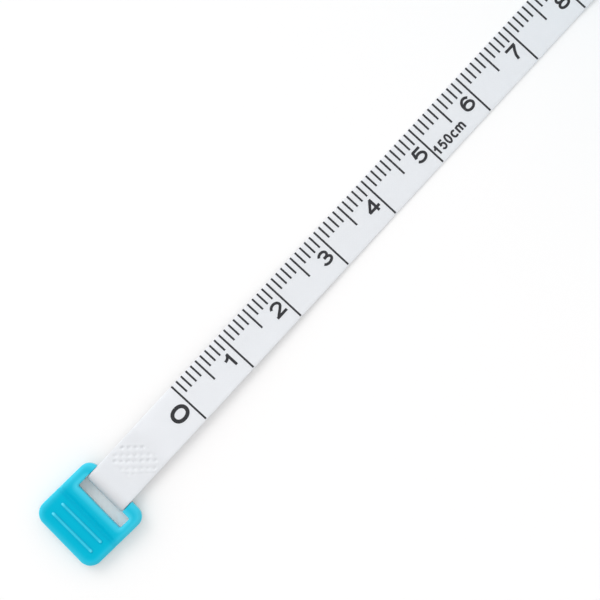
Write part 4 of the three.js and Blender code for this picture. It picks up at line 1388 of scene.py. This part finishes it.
class SEWINGTAPE_OT_springs(bpy.types.Operator):
    """Button's return coil, and the power spring with the hook on its outer end"""

    bl_idname = "sewing_tape.springs"
    bl_label = "Springs"

    # Return coil of round wire.
    WIRE, WIRE_SIDES = 0.25 * MM, 12
    COIL_TURNS, COIL_STEPS = 2, 96

    # Flat power spring.
    THICK, EDGE = 0.2 * MM, 0.05 * MM
    PITCH = THICK + 0.45 * MM
    INNER = 3.3 * MM
    TURNS, STEPS_PER_TURN = 11, 60
    ARBOR_ANCHOR = 2.25 * MM

    # Its hook: the lap over the outer turn, and the bend, out and up in millimetres.
    LAP = INNER + PITCH * TURNS + 0.35 * MM
    LAP_START, LAP_END, LAP_STEPS = math.radians(60), math.radians(5), 24
    HOOK_BEND = ((0.06, 0.65), (0.16, 0.36), (0.32, 0.12), (0.55, 0.0))

    def execute(self, context):
        colours = context.scene.sewing_tape.colours
        steel = metal("blued_steel", colours.spring, rough=0.32, stretch=(1, 0.08, 1))
        coil = self.coil().piece("return_coil", [steel])
        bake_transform(coil)
        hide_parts("button_spring")
        spiral = self.strip(self.spiral()).piece("spring_spiral", [steel])
        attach(spiral, "case")
        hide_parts("power_spring")
        hook = self.strip(self.hook()).piece("spring_hook", [steel])
        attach(hook, "reel")
        return {"FINISHED"}

    def coil(self):
        """Round wire between the button and the floor of its well."""
        low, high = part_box("button_spring")
        radius = high.x - self.WIRE
        rings = []
        for share in spread(0, 1, self.COIL_STEPS):
            angle = 2 * math.pi * self.COIL_TURNS * share
            y = low.y + self.WIRE + (high.y - low.y - 2 * self.WIRE) * share
            ring = []
            for a in spread(0, 2 * math.pi, self.WIRE_SIDES)[:-1]:
                point = polar(radius + self.WIRE * math.cos(a), angle)
                point.y = y + self.WIRE * math.sin(a)
                ring.append(point)
            rings.append(ring)
        return Form().loft(rings)

    def strip(self, line):
        """Flat spring along a line, with its corners broken."""
        low, high = (corner.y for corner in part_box("power_spring"))
        half, edge = self.THICK / 2, self.EDGE
        section = [(low, edge - half), (low + edge, -half), (high - edge, -half),
                   (high, edge - half), (high, half - edge), (high - edge, half),
                   (low + edge, half), (low, half - edge)]
        return Form().loft(strip_rings(line, section))

    def spiral(self):
        """From the arbor's slot outwards to the outer turn's end."""
        turns = spread(0, self.TURNS, self.TURNS * self.STEPS_PER_TURN)
        return [polar(self.ARBOR_ANCHOR, 0),
                *(polar(self.INNER + self.PITCH * turn, -2 * math.pi * turn) for turn in turns)]

    def hook(self):
        """Lapped over the outer turn, then bent into the hub's notch."""
        line = [polar(self.LAP, a) for a in spread(self.LAP_START, self.LAP_END, self.LAP_STEPS)]
        line += [Vector((self.LAP + out * MM, 0, AXIS_Z + up * MM)) for out, up in self.HOOK_BEND]
        return [*line, polar(HUB_ANCHOR, 0)]


class SEWINGTAPE_OT_works(bpy.types.Operator):
    """Finishes of the reel, arbor and brake, which keep their solids"""

    bl_idname = "sewing_tape.works"
    bl_label = "Reel, arbor and brake"

    def execute(self, context):
        colours = context.scene.sewing_tape.colours
        reel = plastic("grey_moulding", colours.grey, rough=0.5)
        worn = {
            "reel_drum": reel,
            "reel_cover": reel,
            "brake_plate": white_moulding(colours),
            "brake_screw": plated_steel(colours),
            "arbor": metal("turned_brass", colours.brass, rough=0.3, stretch=(0.1, 1, 0.1)),
            "brake_ring": rubber("black_rubber", colours.rubber),
        }
        for node, material in worn.items():
            dress(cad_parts[node].data, material)
        return {"FINISHED"}


class SEWINGTAPE_PT_panel(bpy.types.Panel):
    """Steps that build the sewing tape"""

    bl_idname = "SEWINGTAPE_PT_panel"
    bl_label = "Sewing Tape"
    bl_space_type = "VIEW_3D"
    bl_region_type = "UI"
    bl_category = "Sewing Tape"

    def draw(self, context):
        column = self.layout.column(align=True)
        for operator in OPERATORS:
            column.operator(operator.bl_idname)


OPERATORS = (
    SEWINGTAPE_OT_studio,
    SEWINGTAPE_OT_loop,
    SEWINGTAPE_OT_pull_tab,
    SEWINGTAPE_OT_printed_tape,
    SEWINGTAPE_OT_case,
    SEWINGTAPE_OT_case_screws,
    SEWINGTAPE_OT_push_button,
    SEWINGTAPE_OT_winding,
    SEWINGTAPE_OT_springs,
    SEWINGTAPE_OT_works,
)
GROUPS = (TapeSizes, PrintSizes, TabSizes, CaseSizes, FinishColours, StudioSettings,
          SewingTapeSettings)
CLASSES = (*GROUPS, *OPERATORS, SEWINGTAPE_PT_panel)


def register():
    for cls in CLASSES:
        bpy.utils.register_class(cls)
    bpy.types.Scene.sewing_tape = PointerProperty(type=SewingTapeSettings)


def unregister():
    del bpy.types.Scene.sewing_tape
    for cls in reversed(CLASSES):
        bpy.utils.unregister_class(cls)


def main():
    register()
    bpy.ops.sewing_tape.studio()
    bpy.ops.sewing_tape.loop()
    bpy.ops.sewing_tape.pull_tab()
    bpy.ops.sewing_tape.printed_tape()
    bpy.ops.sewing_tape.case()
    bpy.ops.sewing_tape.case_screws()
    bpy.ops.sewing_tape.push_button()
    bpy.ops.sewing_tape.winding()
    bpy.ops.sewing_tape.springs()
    bpy.ops.sewing_tape.works()


if __name__ == "__main__":
    main()
